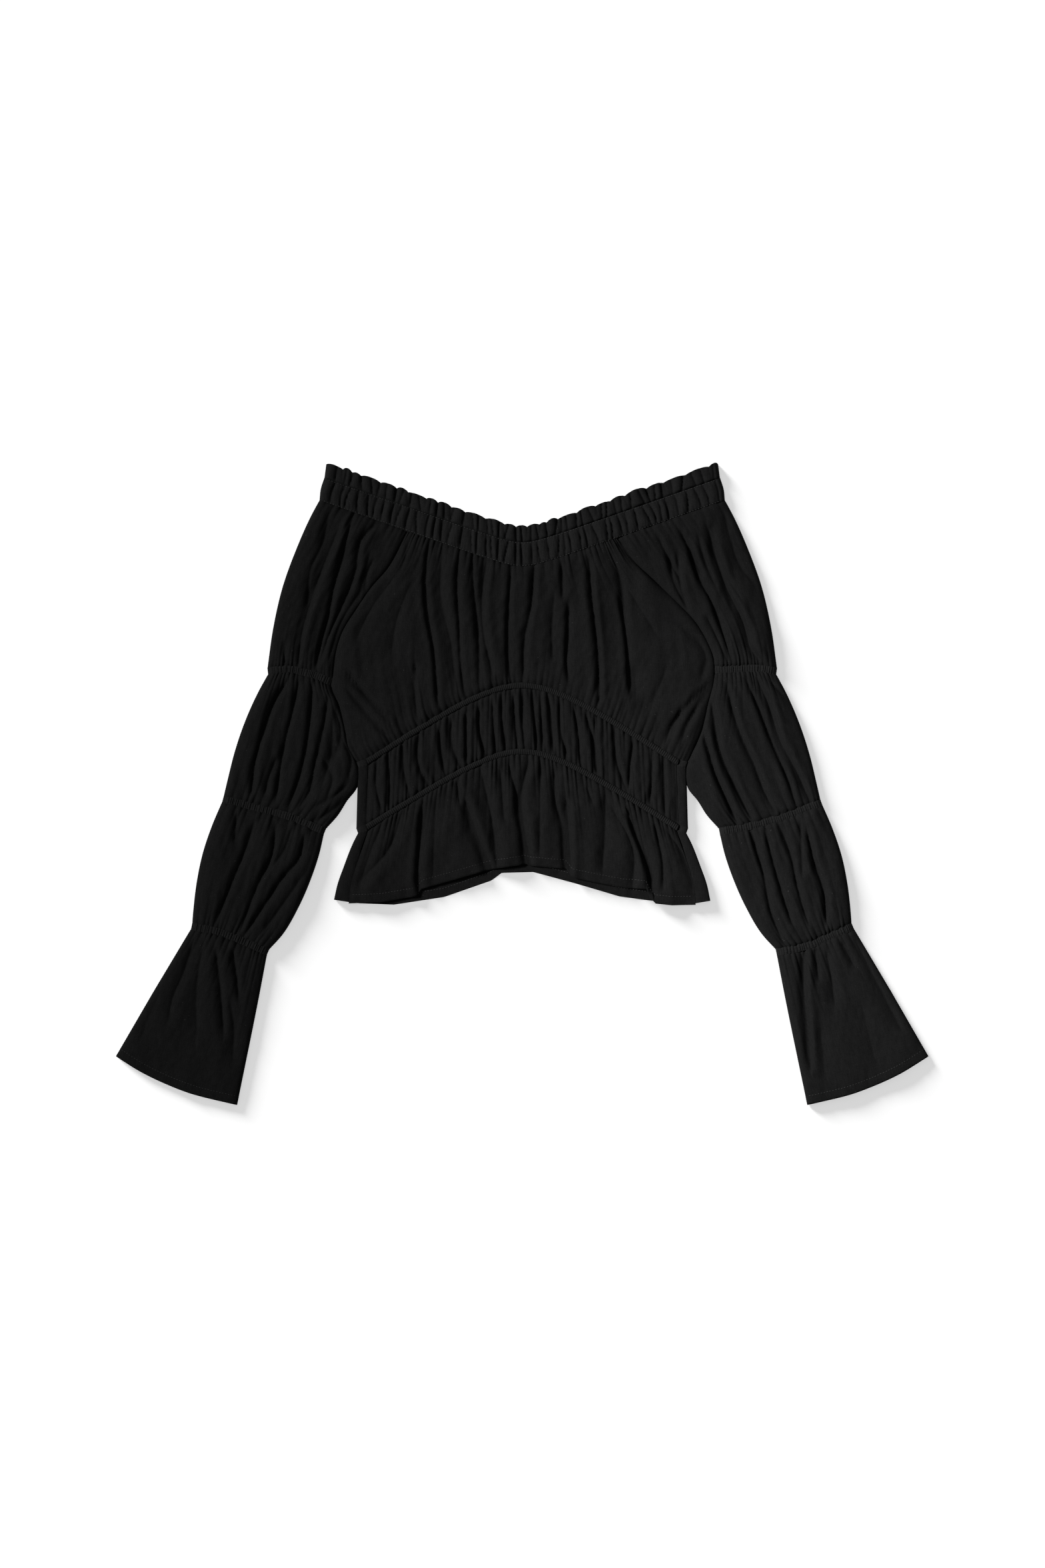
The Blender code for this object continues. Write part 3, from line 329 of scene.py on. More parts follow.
PEPLUM_CREASES = crease_rows(
    (2.2, 4.0, 0.0, (606, 1213), (580, 1280), (564, 1298), (537, 1325)),
    (1.6, 4.0, 0.0, (572, 1240), (552, 1290), (540, 1330)),
    (3.4, 2.6, -0.45, (634, 1211), (630, 1267), (627, 1310), (629, 1342)),
    (1.4, 5.0, 0.0, (655, 1200), (652, 1250), (650, 1320)),
    (4.2, 3.0, 0.7, (697, 1196), (717, 1254), (729, 1286), (738, 1308)),
    (3.4, 5.0, 0.4, (722, 1155), (739, 1233), (746, 1300)),
    (1.8, 3.0, 0.0, (751, 1155), (757, 1232)),
    (2.6, 3.0, -0.3, (763, 1145), (778, 1206), (785, 1255), (792, 1298)),
    (3.0, 3.2, 0.4, (794, 1141), (781, 1208), (788, 1257), (793, 1298)),
    (1.8, 3.0, 0.0, (811, 1143), (810, 1281)),
    (2.8, 2.6, 0.3, (832, 1155), (834, 1206), (845, 1242), (849, 1300)),
    (4.6, 2.8, 0.6, (850, 1200), (853, 1240), (855, 1310)),
    (1.8, 4.0, 0.0, (908, 1189), (908, 1233), (904, 1310)),
    (3.0, 2.8, 0.4, (918, 1211), (944, 1257), (951, 1279), (949, 1332)),
    (4.2, 3.0, -0.7, (943, 1225), (953, 1252), (970, 1295), (978, 1335)),
    (2.4, 2.2, 0.0, (983, 1240), (994, 1291), (995, 1332)),
    (2.8, 2.8, 0.3, (1000, 1245), (1027, 1284), (1044, 1318), (1046, 1339)),
    (2.0, 2.0, 0.0, (686, 1172), (690, 1205)),
    (1.6, 2.2, 0.0, (880, 1180), (890, 1205)),
)
SLEEVE_CREASES = {
    "shoulder_left": crease_rows(
        (2.0, 4.0, 0.0, (495, 772), (484, 817), (467, 856), (462, 907)),
        (3.6, 3.0, 0.9, (509, 795), (484, 856), (467, 904), (453, 957), (448, 997)),
        (3.2, 2.2, 0.0, (532, 772), (521, 806), (512, 845), (501, 884), (493, 927), (481, 969), (474, 1002)),
        (3.0, 2.2, 0.3, (568, 786), (543, 809), (535, 856), (523, 890), (507, 924), (493, 957), (481, 994)),
        (1.2, 2.0, 0.0, (556, 830), (546, 866), (538, 907)),
        (2.2, 2.2, 0.0, (561, 840), (551, 862), (549, 890)),
        (1.8, 3.0, 0.0, (428, 963), (427, 983), (429, 997)),
        (2.2, 2.8, 0.0, (540, 890), (512, 935), (494, 990)),
    ),
    "elbow_left": crease_rows(
        (4.0, 2.4, 0.3, (432, 1022), (413, 1053), (398, 1095), (386, 1133), (378, 1187)),
        (2.8, 2.2, 0.0, (449, 1024), (440, 1068), (432, 1099), (424, 1137), (415, 1200)),
        (2.6, 2.2, -0.3, (470, 1026), (468, 1056), (463, 1104), (451, 1162), (434, 1210)),
        (2.6, 2.2, 0.0, (493, 1045), (489, 1076), (480, 1118), (472, 1152), (464, 1190), (451, 1210)),
        (2.0, 2.4, 0.0, (415, 1139), (403, 1171), (399, 1190)),
        (2.0, 5.0, 0.0, (500, 1080), (498, 1130), (484, 1180)),
        (1.8, 2.2, 0.0, (520, 1200), (490, 1222), (462, 1238)),
        (2.4, 2.4, 0.3, (504, 1066), (512, 1092), (508, 1124), (500, 1140)),
        (2.2, 2.0, 0.0, (514, 1108), (528, 1140), (524, 1168)),
        (1.8, 2.2, 0.0, (486, 1140), (500, 1166), (492, 1196)),
        (1.6, 2.0, 0.0, (474, 1210), (500, 1196), (522, 1178)),
    ),
    "forearm_left": crease_rows(
        (2.6, 2.4, 0.0, (383, 1234), (371, 1270), (350, 1322), (325, 1384)),
        (2.8, 2.2, 0.3, (414, 1240), (411, 1276), (386, 1332), (362, 1396)),
        (3.0, 2.4, 0.0, (457, 1255), (451, 1286), (426, 1316), (405, 1347), (371, 1399)),
        (1.8, 2.4, 0.0, (356, 1221), (353, 1261)),
        (1.8, 3.0, 0.0, (440, 1240), (425, 1280), (398, 1310)),
        (1.6, 3.0, 0.0, (458, 1310), (430, 1350), (395, 1398)),
    ),
    "cuff_left": crease_rows(
        (2.2, 4.4, 0.3, (292, 1408), (276, 1460), (261, 1494), (254, 1530)),
        (2.6, 2.6, 0.4, (325, 1423), (331, 1475), (337, 1552)),
        (2.4, 2.4, 0.0, (350, 1426), (356, 1466), (359, 1497)),
        (2.2, 6.0, 0.5, (306, 1416), (297, 1470), (296, 1550)),
        (1.6, 3.0, 0.0, (268, 1398), (250, 1430), (232, 1470)),
        (1.8, 5.0, 0.0, (346, 1500), (352, 1540), (350, 1590)),
        (1.2, 8.0, 0.0, (240, 1490), (222, 1530), (212, 1560)),
    ),
    "shoulder_right": crease_rows(
        (3.2, 2.4, -0.3, (1032, 806), (1045, 861), (1068, 905), (1084, 950), (1096, 988)),
        (1.8, 2.4, 0.0, (1068, 792), (1081, 844), (1094, 872), (1112, 900)),
        (1.8, 2.4, 0.3, (1046, 800), (1060, 850), (1074, 880)),
        (3.8, 2.6, 0.7, (1063, 795), (1075, 840), (1091, 884), (1117, 938), (1128, 977), (1148, 997)),
        (2.4, 2.2, 0.0, (1016, 834), (1021, 879), (1033, 921)),
        (2.2, 2.2, 0.0, (1004, 834), (1010, 870), (1027, 907)),
        (2.0, 4.0, 0.0, (1086, 767), (1097, 814), (1111, 851), (1134, 879)),
        (2.2, 2.4, 0.0, (1061, 927), (1083, 974), (1091, 994)),
        (2.6, 1.9, 0.3, (988, 806), (1002, 836), (1018, 866)),
        (2.8, 1.9, 0.3, (1022, 798), (1036, 830), (1052, 862)),
    ),
    "elbow_right": crease_rows(
        (4.4, 2.4, 0.3, (1065, 1045), (1071, 1076), (1078, 1120), (1088, 1148), (1103, 1179), (1126, 1227)),
        (4.0, 2.4, 0.0, (1053, 1095), (1063, 1129), (1074, 1164), (1088, 1196), (1105, 1232)),
        (3.2, 2.2, 0.5, (1090, 1026), (1099, 1066), (1113, 1106), (1132, 1148), (1147, 1188), (1162, 1217)),
        (2.6, 2.2, -0.3, (1118, 1018), (1139, 1066), (1159, 1118), (1185, 1179), (1193, 1206)),
        (3.6, 2.6, 0.8, (1134, 1016), (1153, 1056), (1170, 1110), (1197, 1160), (1214, 1200)),
        (1.8, 2.4, 0.0, (1149, 1016), (1162, 1030), (1183, 1051)),
    ),
    "forearm_right": crease_rows(
        (3.6, 2.4, 0.3, (1209, 1240), (1221, 1292), (1236, 1338), (1239, 1384)),
        (2.6, 2.2, 0.0, (1169, 1237), (1187, 1286), (1196, 1332), (1212, 1384)),
        (2.4, 2.2, -0.3, (1147, 1246), (1163, 1307), (1187, 1384)),
        (2.6, 2.4, 0.0, (1126, 1246), (1144, 1307), (1157, 1371), (1175, 1414)),
        (1.8, 3.0, 0.0, (1200, 1231), (1203, 1313)),
    ),
    "cuff_right": crease_rows(
        (4.2, 2.6, 0.7, (1206, 1426), (1206, 1475), (1212, 1552), (1216, 1600)),
        (2.4, 4.0, 0.3, (1239, 1426), (1247, 1466), (1252, 1506)),
        (2.4, 6.0, 0.0, (1282, 1408), (1316, 1475), (1353, 1546)),
        (1.8, 2.6, 0.0, (1222, 1422), (1228, 1470)),
        (1.8, 2.6, 0.0, (1262, 1412), (1282, 1450)),
        (1.6, 8.0, 0.0, (1230, 1540), (1238, 1620)),
        (1.2, 9.0, 0.0, (1290, 1500), (1312, 1590)),
    ),
}

# Grid steps
STEP_ACROSS = 0.9
STEP_DOWN = 2.0
MIDRIFF_STEP = 0.75
PEPLUM_STEP = 0.8
CHANNEL_STEP_DOWN = 1.0
PLEAT_STEP = 0.8
PLEAT_STEP_DOWN = 1.2
PLEAT_UNDER_STEP = 1.6
UNDER_STEP = 2.4
RIB_STEPS = 6
CREASE_STEPS = 12
BAND_ROWS = (1.0, 0.92, 0.7, 0.35, 0.0, -0.35, -0.7, -0.92, -1.0)
RING_ROWS = 9

# Ruched bands: their ribs drift along them, and a sleeve's elastics are puckered
UNDER_ROUNDING = 0.5
RIB_DRIFT = 0.6
RIB_DRIFT_LENGTH = 9.0
PUCKER_PITCH = 1.1
PUCKER = 1.2
LEAST_PUCKER = 0.5
UNDER_PUCKER = 0.5
RING_LOFT = 3.0
RING_ROLL = 3.0
RING_ROUNDING = 0.55
RING_RIPPLE = 0.12

# A stitch: shares of its length, with a thickness and a lift as shares of the thread's radius
STITCH_PROFILE = ((0.0, 0.55, -0.6), (0.3, 1.0, 0.5), (0.7, 1.0, 0.5), (1.0, 0.55, -0.6))
STITCH_SIDES = 6
STITCHED_SHARE = (0.006, 0.994)
CASING_STITCH_LINES = (0.05, 0.95)

# Noise scales of the crepe, for each metre across, along and through the cloth
SLUB_SCALE = (900.0, 140.0, 900.0)
WEFT_SCALE = (160.0, 1000.0, 900.0)
TWIST_SCALE = (2600.0, 2600.0, 900.0)
SPECKLE_SCALE = 1500.0
PATCH_SCALE = 170.0
LINT_SCALE = 420.0
LINT_RANGE = (0.77, 0.83)
LINT_SHARE = 0.3
YARN_RANGE = (0.3, 0.7)
RUCHE_SCALE = 380.0
RELIEF_STRENGTH = 0.7
ROUGHNESS_SPREAD = 0.14

# Stage, in metres
WHITE = (1.0, 1.0, 1.0, 1.0)
FLOOR_REACH = 4.0
KEY_PLACE = (-1.2, 1.0, 1.4)
SPOT_PLACE = (-2.2, 1.0, 2.4)
SPOT_AIM = (0.58, -0.17, 0.0)
SPOT_CONE = radians(18.0)
SPOT_RADIUS = 0.2
LOW_PLACE = (-1.5, 1.5, 0.5)
CAMERA_PLACE = (0.0003, -0.0003)
SENSOR_HEIGHT = 36.0
FARTHEST_SEEN = 50.0


def along(spots):
    """Where points lie along the run through them, as shares of its length."""
    steps = np.hypot(*np.diff(spots, axis=0).T)
    return np.concatenate([[0.0], np.cumsum(steps)]) / steps.sum()


def smooth_curve(points):
    """A smooth curve through some points, as a function of a share from 0 to 1 of its length."""
    spots = np.array(points, dtype=float)
    knots = along(spots)
    slopes = np.gradient(spots, knots, axis=0)

    def at(share):
        share = np.clip(np.asarray(share, dtype=float), 0.0, 1.0)
        place = np.clip(np.searchsorted(knots, share, side="right") - 1, 0, len(knots) - 2)
        gap = (knots[place + 1] - knots[place])[..., None]
        part = (share - knots[place])[..., None] / gap
        rest = 1 - part
        start = (1 + 2 * part) * rest**2 * spots[place] + part * rest**2 * gap * slopes[place]
        end = part**2 * (3 - 2 * part) * spots[place + 1] + part**2 * (part - 1) * gap * slopes[place + 1]
        return start + end

    return at


def straight_curve(points):
    """A curve of straight runs through some points, as a function of a share of its length."""
    spots = np.array(points, dtype=float)
    knots = along(spots)

    def at(share):
        share = np.asarray(share, dtype=float)
        return np.stack([np.interp(share, knots, places) for places in spots.T], axis=-1)

    return at


def shifted(curve, distance):
    """The curve moved to the left of its own direction by a distance."""
    small = 1e-4

    def at(share):
        share = np.asarray(share, dtype=float)
        ahead = curve(np.clip(share + small, 0, 1)) - curve(np.clip(share - small, 0, 1))
        ahead /= np.hypot(ahead[..., 0], ahead[..., 1])[..., None]
        return curve(share) + distance * np.stack([-ahead[..., 1], ahead[..., 0]], axis=-1)

    return at


def bent_to(curve, start, end):
    """The curve bent so that it starts and ends at two given points."""
    first, last = np.array(start) - curve(0.0), np.array(end) - curve(1.0)

    def at(share):
        share = np.asarray(share, dtype=float)[..., None]
        return curve(share[..., 0]) + (1 - share) * first + share * last

    return at


def neck_line(x, rise=0.0):
    """The height of the neck seam at x, raised by rise."""
    return NECK_LOW + rise + NECK_SLOPE * (np.hypot(x, NECK_ROUND) - NECK_ROUND)


def neck_curve(left, right, rise=0.0, lean=(0.0, 0.0)):
    """The neck line between two x places, raised by rise, its left and right halves leaning sideways."""

    def at(share):
        share = np.asarray(share, dtype=float)
        x = left + (right - left) * share
        half = np.abs(2 * share - 1)
        x = x + np.where(share < 0.5, *lean) * np.sin(pi * np.clip(half, 0, 1))
        return np.stack([x, neck_line(x, rise)], axis=-1)

    return at


def bodice_neck_curve(rise):
    """The neck line over the bodice, its places set so that the lines down from its middle run straight."""

    def at(share):
        x = BODY_HALF_WIDTH * (2 * np.asarray(share, dtype=float) - 1)
        ends = np.where(x < 0, -LEFT_SIDE[0].x, RIGHT_SIDE[0].x)
        spread = np.where(x < 0, *BODICE_SPREAD)
        x = ends * np.tanh(x / spread) / np.tanh(BODY_HALF_WIDTH / spread)
        return np.stack([x, neck_line(x, rise)], axis=-1)

    return at


def arch_curve(arch, half_span):
    """A channel's centre line: an arch as far as the side seams, more level past them."""

    def at(share):
        x = half_span * (2 * np.asarray(share, dtype=float) - 1)
        within = np.clip(x, -CHANNEL_HALF_SPAN, CHANNEL_HALF_SPAN)
        past = np.abs(x) - np.abs(within)
        y = arch.top - arch.slope * (np.hypot(within, arch.rounding) - arch.rounding) - END_SLOPE * past
        return np.stack([x, y], axis=-1)

    return at


def patch(top, bottom, left, right, side_power=1):
    """A surface between four curves, as a function of u across and v down.

    The larger side_power is, the less the sides bend the lines in the middle.
    """

    def at(u, v):
        u, v = np.broadcast_arrays(np.asarray(u, dtype=float), np.asarray(v, dtype=float))
        across, down = u[..., None], v[..., None]
        ruled = (1 - down) * top(u) + down * bottom(u)
        left_pull = left(v) - (1 - down) * top(0.0) - down * bottom(0.0)
        right_pull = right(v) - (1 - down) * top(1.0) - down * bottom(1.0)
        return ruled + (1 - across) ** side_power * left_pull + across**side_power * right_pull

    return at


def straight_patch(top, bottom):
    """A surface between two curves, with straight sides."""
    return patch(top, bottom, *(straight_curve((top(share), bottom(share))) for share in (0.0, 1.0)))


def band_surface(line, width):
    """A band of a width along a line."""
    return straight_patch(shifted(line, width / 2), shifted(line, -width / 2))


def in_mm(pixels):
    """Places in the photograph as millimetres in the part's frame."""
    spots = np.array(pixels, dtype=float)
    x = (spots[:, 0] - PHOTO_MIDDLE[0]) * PIXEL
    return np.stack([x, (PHOTO_MIDDLE[1] - spots[:, 1]) * PIXEL], axis=-1)


def bell(away, width):
    """1 at a line, falling off to both sides of it."""
    return np.exp(-((away / width) ** 2))


def crease_field(x, y, creases):
    """How far the creases press the cloth down: a slit in a wide valley, with a ridge at each side."""
    total = np.zeros_like(x)
    for crease in creases:
        spots = in_mm(crease.points)
        if len(spots) > 2:
            spots = smooth_curve(spots)(np.linspace(0, 1, CREASE_STEPS + 1))
        runs = np.diff(spots, axis=0)
        lengths = np.hypot(*runs.T)
        starts = np.concatenate([[0.0], np.cumsum(lengths)])
        off = np.full(x.shape, np.inf)
        side = np.zeros_like(x)
        down = np.zeros_like(x)
        for k, (run, length) in enumerate(zip(runs, lengths)):
            from_x, from_y = x - spots[k, 0], y - spots[k, 1]
            part = np.clip((from_x * run[0] + from_y * run[1]) / length**2, 0.0, 1.0)
            away = np.hypot(from_x - part * run[0], from_y - part * run[1])
            nearer = away < off
            off = np.where(nearer, away, off)
            side = np.where(nearer, np.sign(run[0] * from_y - run[1] * from_x), side)
            down = np.where(nearer, (starts[k] + part * length) / starts[-1], down)
        ends = np.minimum(END_DEPTH + END_RATE * down, END_DEPTH + END_RATE * (1 - down))
        scaled = off / crease.width
        valley = VALLEY * bell(scaled, VALLEY_WIDTH) + SLIT * np.exp(-scaled / SLIT_WIDTH)
        ridge = RIDGE * bell(scaled - RIDGE_PLACE, RIDGE_WIDTH)
        step = crease.lean * LEAN_STEP * side * scaled * bell(scaled, LEAN_WIDTH)
        total += crease.depth * np.minimum(1.0, ends) * (valley - ridge - step)
    return total


def make_gathers(length, pitch, height, reach, seed):
    """Uneven small gathers along a seam: their valleys, and how high and how far each ridge runs."""
    chance = np.random.default_rng(seed)
    count = max(int(length / pitch), 3)
    steps = chance.uniform(*GATHER_STEPS, count)
    valleys = np.concatenate([[0.0], np.cumsum(steps)]) / steps.sum()
    heights = height * chance.uniform(*GATHER_HEIGHTS, count)
    reaches = reach * np.exp(chance.normal(0.0, GATHER_REACHES, count))
    return Gathers(valleys, heights, reaches)


def gather_rise(gathers, share, distance):
    """How much a seam's gathers lift the cloth, and the ridges' height there without their valleys."""
    place = np.clip(np.searchsorted(gathers.valleys, share, side="right") - 1, 0, len(gathers.heights) - 1)
    pitch = gathers.valleys[place + 1] - gathers.valleys[place]
    part = np.clip((share - gathers.valleys[place]) / pitch, 0.0, 1.0)
    away = np.maximum(distance, 0.0) / gathers.reaches[place]
    most = gathers.heights[place] * (NEAR_FADE * np.exp(-away) + FAR_FADE * np.exp(-away / FAR_REACH))
    return most * np.sin(pi * part) ** GATHER_POWER, most


def waves(x, y, lengths, height, grain, seed):
    """Low uneven waves that mostly run down the cloth, whose grain is turned by an angle."""
    chance = np.random.default_rng(seed)
    total = np.zeros_like(x)
    for _ in range(WAVE_COUNT):
        length = chance.uniform(*lengths)
        turn = grain + chance.normal(0.0, WAVE_TURN)
        shift = chance.uniform(0, 2 * pi)
        total += np.sin(2 * pi * (x * cos(turn) + y * sin(turn)) / length + shift)
    return height * total / np.sqrt(WAVE_COUNT)


def soft_floor(height):
    """The height kept above 0, with no hard edge where it meets it."""
    return np.log1p(np.exp(np.clip(FLOOR_HARDNESS * height, -40, 40))) / FLOOR_HARDNESS


def span(first, second):
    """Distances between two sets of points."""
    return np.hypot(*np.moveaxis(second - first, -1, 0))


class Cloth:
    """The upper face of a panel, and its lower face where it is a tube: a surface and heights over it."""

    def __init__(
        self,
        surface,
        loft,
        seed,
        edge=FRONT_BASE,
        creases=(),
        top=None,
        bottom=None,
        hem=0.0,
        grain=0.0,
        wavy=1.0,
    ):
        self.surface = surface
        self.loft = loft
        self.edge = edge
        self.creases = creases
        self.top = top
        self.bottom = bottom
        self.hem = hem
        self.grain = grain
        self.seed = seed
        self.wavy = wavy

    def distances(self, u, v):
        """Distances to the nearer side, to the top seam and to the bottom one."""
        width = span(self.surface(0.0, v), self.surface(1.0, v))
        length = span(self.surface(u, 0.0), self.surface(u, 1.0))
        return np.minimum(u, 1 - u) * width, v * length, (1 - v) * length

    def at(self, u, v):
        """Points of the upper face."""
        u, v = np.broadcast_arrays(np.asarray(u, dtype=float), np.asarray(v, dtype=float))
        spots = self.surface(u, v)
        x, y = spots[..., 0], spots[..., 1]
        to_side, to_top, to_bottom = self.distances(u, v)
        side = 1 - np.exp(-to_side / SIDE_ROLL)
        seam = 1 - SEAM_DIP * np.exp(-to_top / SEAM_REACH)
        if not self.hem:
            seam = seam - SEAM_DIP * np.exp(-to_bottom / SEAM_REACH)
        z = self.loft * side * seam
        if self.hem:
            z = z - HEM_DROOP * side * np.exp(-to_bottom / HEM_DROOP_REACH)
        lengths, height = WIDE_WAVES
        z = z + side * seam * waves(x, y, lengths, height * self.wavy, self.grain, self.seed)
        lengths, height = SHORT_WAVES
        z = z + side * waves(x, y, lengths, height * self.wavy, self.grain, self.seed + 1)
        if self.top:
            z = z + side * gather_rise(self.top, u, to_top)[0]
        if self.bottom:
            z = z + side * gather_rise(self.bottom, u, to_bottom)[0]
        strength = bpy.context.scene.top_cloth.crease_strength
        z = z - side * strength * crease_field(x, y, self.creases)
        z = LEAST_FRONT + soft_floor(FRONT_BASE - LEAST_FRONT + z)
        z = z - (FRONT_BASE - self.edge) * np.exp(-to_side / EDGE_REACH)
        z = z - TUCK * np.exp(-to_top / TUCK_REACH)
        if self.hem:
            z = z - HEM_GROOVE * bell(to_bottom - self.hem, HEM_GROOVE_WIDTH)
        else:
            z = z - TUCK * np.exp(-to_bottom / TUCK_REACH)
        return np.stack([x, y, z], axis=-1)

    def under(self, u, v):
        """Points of the lower face, which lies on the floor and is creased upwards."""
        u, v = np.broadcast_arrays(np.asarray(u, dtype=float), np.asarray(v, dtype=float))
        spots = self.surface(u, v)
        x, y = spots[..., 0], spots[..., 1]
        to_side, to_top, to_bottom = self.distances(u, v)
        z = UNDER_CREASE * np.maximum(crease_field(x, y, self.creases), 0.0)
        z = z + np.maximum(waves(x, y, *UNDER_WAVES, self.grain, self.seed + 2), 0.0)
        for gathers, distance in ((self.top, to_top), (self.bottom, to_bottom)):
            if gathers:
                rise, most = gather_rise(gathers, u, distance)
                z = z + UNDER_GATHER * (most - rise)
        return np.stack([x, y, FLOOR_GAP + BACK_MOST * np.tanh(z / BACK_MOST)], axis=-1)


def spread(length, step):
    """Shares from 0 to 1 about a step apart."""
    return np.linspace(0.0, 1.0, max(int(round(length / step)), 2) + 1)


def run_of(curve, samples):
    """A curve's length, from a number of places on it."""
    return float(np.hypot(*np.diff(curve(np.linspace(0, 1, samples)), axis=0).T).sum())


def size_of(surface):
    """A surface's width across its middle and its length down it."""
    width = float(np.hypot(*(surface(1.0, 0.5) - surface(0.0, 0.5))))
    return width, float(np.hypot(*(surface(0.5, 1.0) - surface(0.5, 0.0))))


def raised(spots, heights):
    """Points at some heights over places on the floor."""
    return np.concatenate([spots, np.broadcast_to(heights, spots.shape[:-1])[..., None]], axis=-1)


def hem_rows(edge, stitched_at, inwards, turn):
    """The rows that turn a hem in: two from its edge, and one behind the place where it is stitched."""
    return [edge + turn[0] * inwards, edge + turn[1] * inwards, stitched_at + turn[2] * inwards]


def face_grid(cloth, step_across=STEP_ACROSS):
    """The upper face of a panel as rows of points, with its hem turned under if it has one."""
    width, length = size_of(cloth.surface)
    u, v = np.meshgrid(spread(width, step_across), spread(length, STEP_DOWN))
    grid = cloth.at(u, v)
    if cloth.hem:
        back = cloth.at(u[-1], 1 - cloth.hem / length)
        inwards = np.array([0.0, 0.0, -1.0])
        grid = np.concatenate([grid, hem_rows(grid[-1], back, inwards, FRONT_HEM_TURN)])
    return grid


def ring_grid(surface, tuck, stations, upper, lower):
    """A tube as rings of points: its upper and lower faces, and a rounded corner at each side edge."""
    shares = (1 - CORNER_SHARE * tuck, CORNER_SHARE * tuck)
    corners = [raised(surface(share, stations), CORNER_HEIGHT) for share in shares]
    return np.concatenate([upper, corners[0], lower, corners[1]], axis=1)


def tube_grid(cloth):
    """A flattened tube as rings of points, with its hem turned in if it has one."""
    width, length = size_of(cloth.surface)
    u, v = np.meshgrid(spread(width, STEP_ACROSS), spread(length, STEP_DOWN))
    stations = v[:, :1]
    tuck = EDGE_TUCK / span(cloth.surface(0.0, stations), cloth.surface(1.0, stations))
    back = tuck + (1 - 2 * tuck) * spread(width, UNDER_STEP)[None, ::-1]
    grid = ring_grid(cloth.surface, tuck, stations, cloth.at(u, v), cloth.under(back, stations))
    if cloth.hem:
        inwards = np.zeros(grid.shape[1:])
        inwards[: u.shape[1], 2] = -1.0
        inwards[u.shape[1] + 1 : -1, 2] = 1.0
        turned = grid[-1 - int(round(cloth.hem / length * (len(v) - 1)))]
        grid = np.concatenate([grid, hem_rows(grid[-1], turned, inwards, CUFF_HEM_TURN)])
    return grid


def turned_grid(surface, strips, step_down, wrinkle, seed, creases=(), top=None, bottom=None, ribs=None):
    """A back piece as rows of points: a strip on the front, round the edge, under the top and back up."""
    width, length = size_of(surface)
    stations = spread(length, step_down)[:, None]
    widths = span(surface(0.0, stations), surface(1.0, stations))
    strip = strips[0] + (strips[1] - strips[0]) * stations
    away = [strip * share for share, _ in STRIP_TURN] + [np.full(strip.shape, gap) for gap, _ in EDGE_TURN]
    shares = np.concatenate(away, axis=1) / widths
    heights = np.array([height for _, height in (*STRIP_TURN, *EDGE_TURN)])
    cloth = Cloth(surface, 0.0, creases=creases, top=top, bottom=bottom, seed=seed)
    tuck = EDGE_TUCK / widths
    step = UNDER_STEP if ribs is None else ribs / RIB_STEPS
    middle = tuck + (1 - 2 * tuck) * spread(width, step)[None, :]
    lower = cloth.under(middle, stations)
    if ribs is not None:
        rounded = UNDER_ROUNDING * np.abs(2 * stations - 1) ** 3
        lower[..., 2] = FLOOR_GAP + rib_height(middle * width, ribs) + rounded
    sides = []
    for across, over in ((shares, heights), (1 - shares[:, ::-1], heights[::-1])):
        spots = surface(across, stations)
        bend = waves(spots[..., 0], spots[..., 1], STRIP_WAVES, wrinkle, 0.0, seed)
        sides.append(raised(spots, over + bend * (over > RETURN_TOP / 2)))
    return np.concatenate([sides[0], lower, sides[1]], axis=1)


def rib_height(run, pitch):
    """The ribs of cloth ruched over elastic, at places along it."""
    height = bpy.context.scene.top_cloth.rib_height / MM
    return height * (1 + np.cos(2 * pi * run / pitch + RIB_DRIFT * np.sin(run / RIB_DRIFT_LENGTH))) / 2


def band_grid(centre, length, width, pitch):
    """An elastic casing across the front: a rounded band with ribs across it."""
    shares = np.linspace(0.0, 1.0, int(length / pitch * RIB_STEPS) + 1)
    rows = []
    for side in BAND_ROWS:
        rounded = (1 - side**4) ** 0.5
        z = CHANNEL_BASE + CHANNEL_LOFT * rounded + rib_height(shares * length, pitch) * rounded
        rows.append(raised(shifted(centre, side * width / 2)(shares), z))
    return np.array(rows)


def ring_band_grid(line, length, width, pitch, seed):
    """A sleeve elastic: a flattened loop of ruched cloth, puckered across."""
    surface = band_surface(line, width)
    stations = np.linspace(0.0, 1.0, RING_ROWS)[:, None]
    shares = np.linspace(0.0, 1.0, int(length / pitch * RIB_STEPS) + 1)[None, :]
    pleats = make_gathers(length, pitch * PUCKER_PITCH, 1.0, 1.0, seed)
    rise = gather_rise(pleats, shares, 0.0)[0]
    away = np.minimum(shares, 1 - shares) * length
    rounded = 1 - RING_ROUNDING * np.abs(2 * stations - 1) ** 3 + RING_RIPPLE * np.cos(6 * pi * stations)
    height = RING_LOFT + (LEAST_PUCKER + PUCKER * rise) * rounded
    z = SLEEVE_EDGE + (1 - np.exp(-away / RING_ROLL)) * height
    tuck = EDGE_TUCK / length
    back = tuck + (1 - 2 * tuck) * np.linspace(1, 0, int(length / pitch * 3) + 1)[None, :]
    under_z = FLOOR_GAP + UNDER_PUCKER * (1 - np.abs(np.sin(pi * back * length / pitch)))
    upper, lower = raised(surface(shares, stations), z), raised(surface(back, stations), under_z)
    return ring_grid(surface, tuck, stations, upper, lower)


def mesh_object(name, points, faces):
    """A smooth object from points in millimetres and faces."""
    mesh = bpy.data.meshes.new(name)
    mesh.from_pydata((points * MM).tolist(), [], faces)
    mesh.update()
    mesh.shade_smooth()
    made = bpy.data.objects.new(name, mesh)
    bpy.context.collection.objects.link(made)
    return made


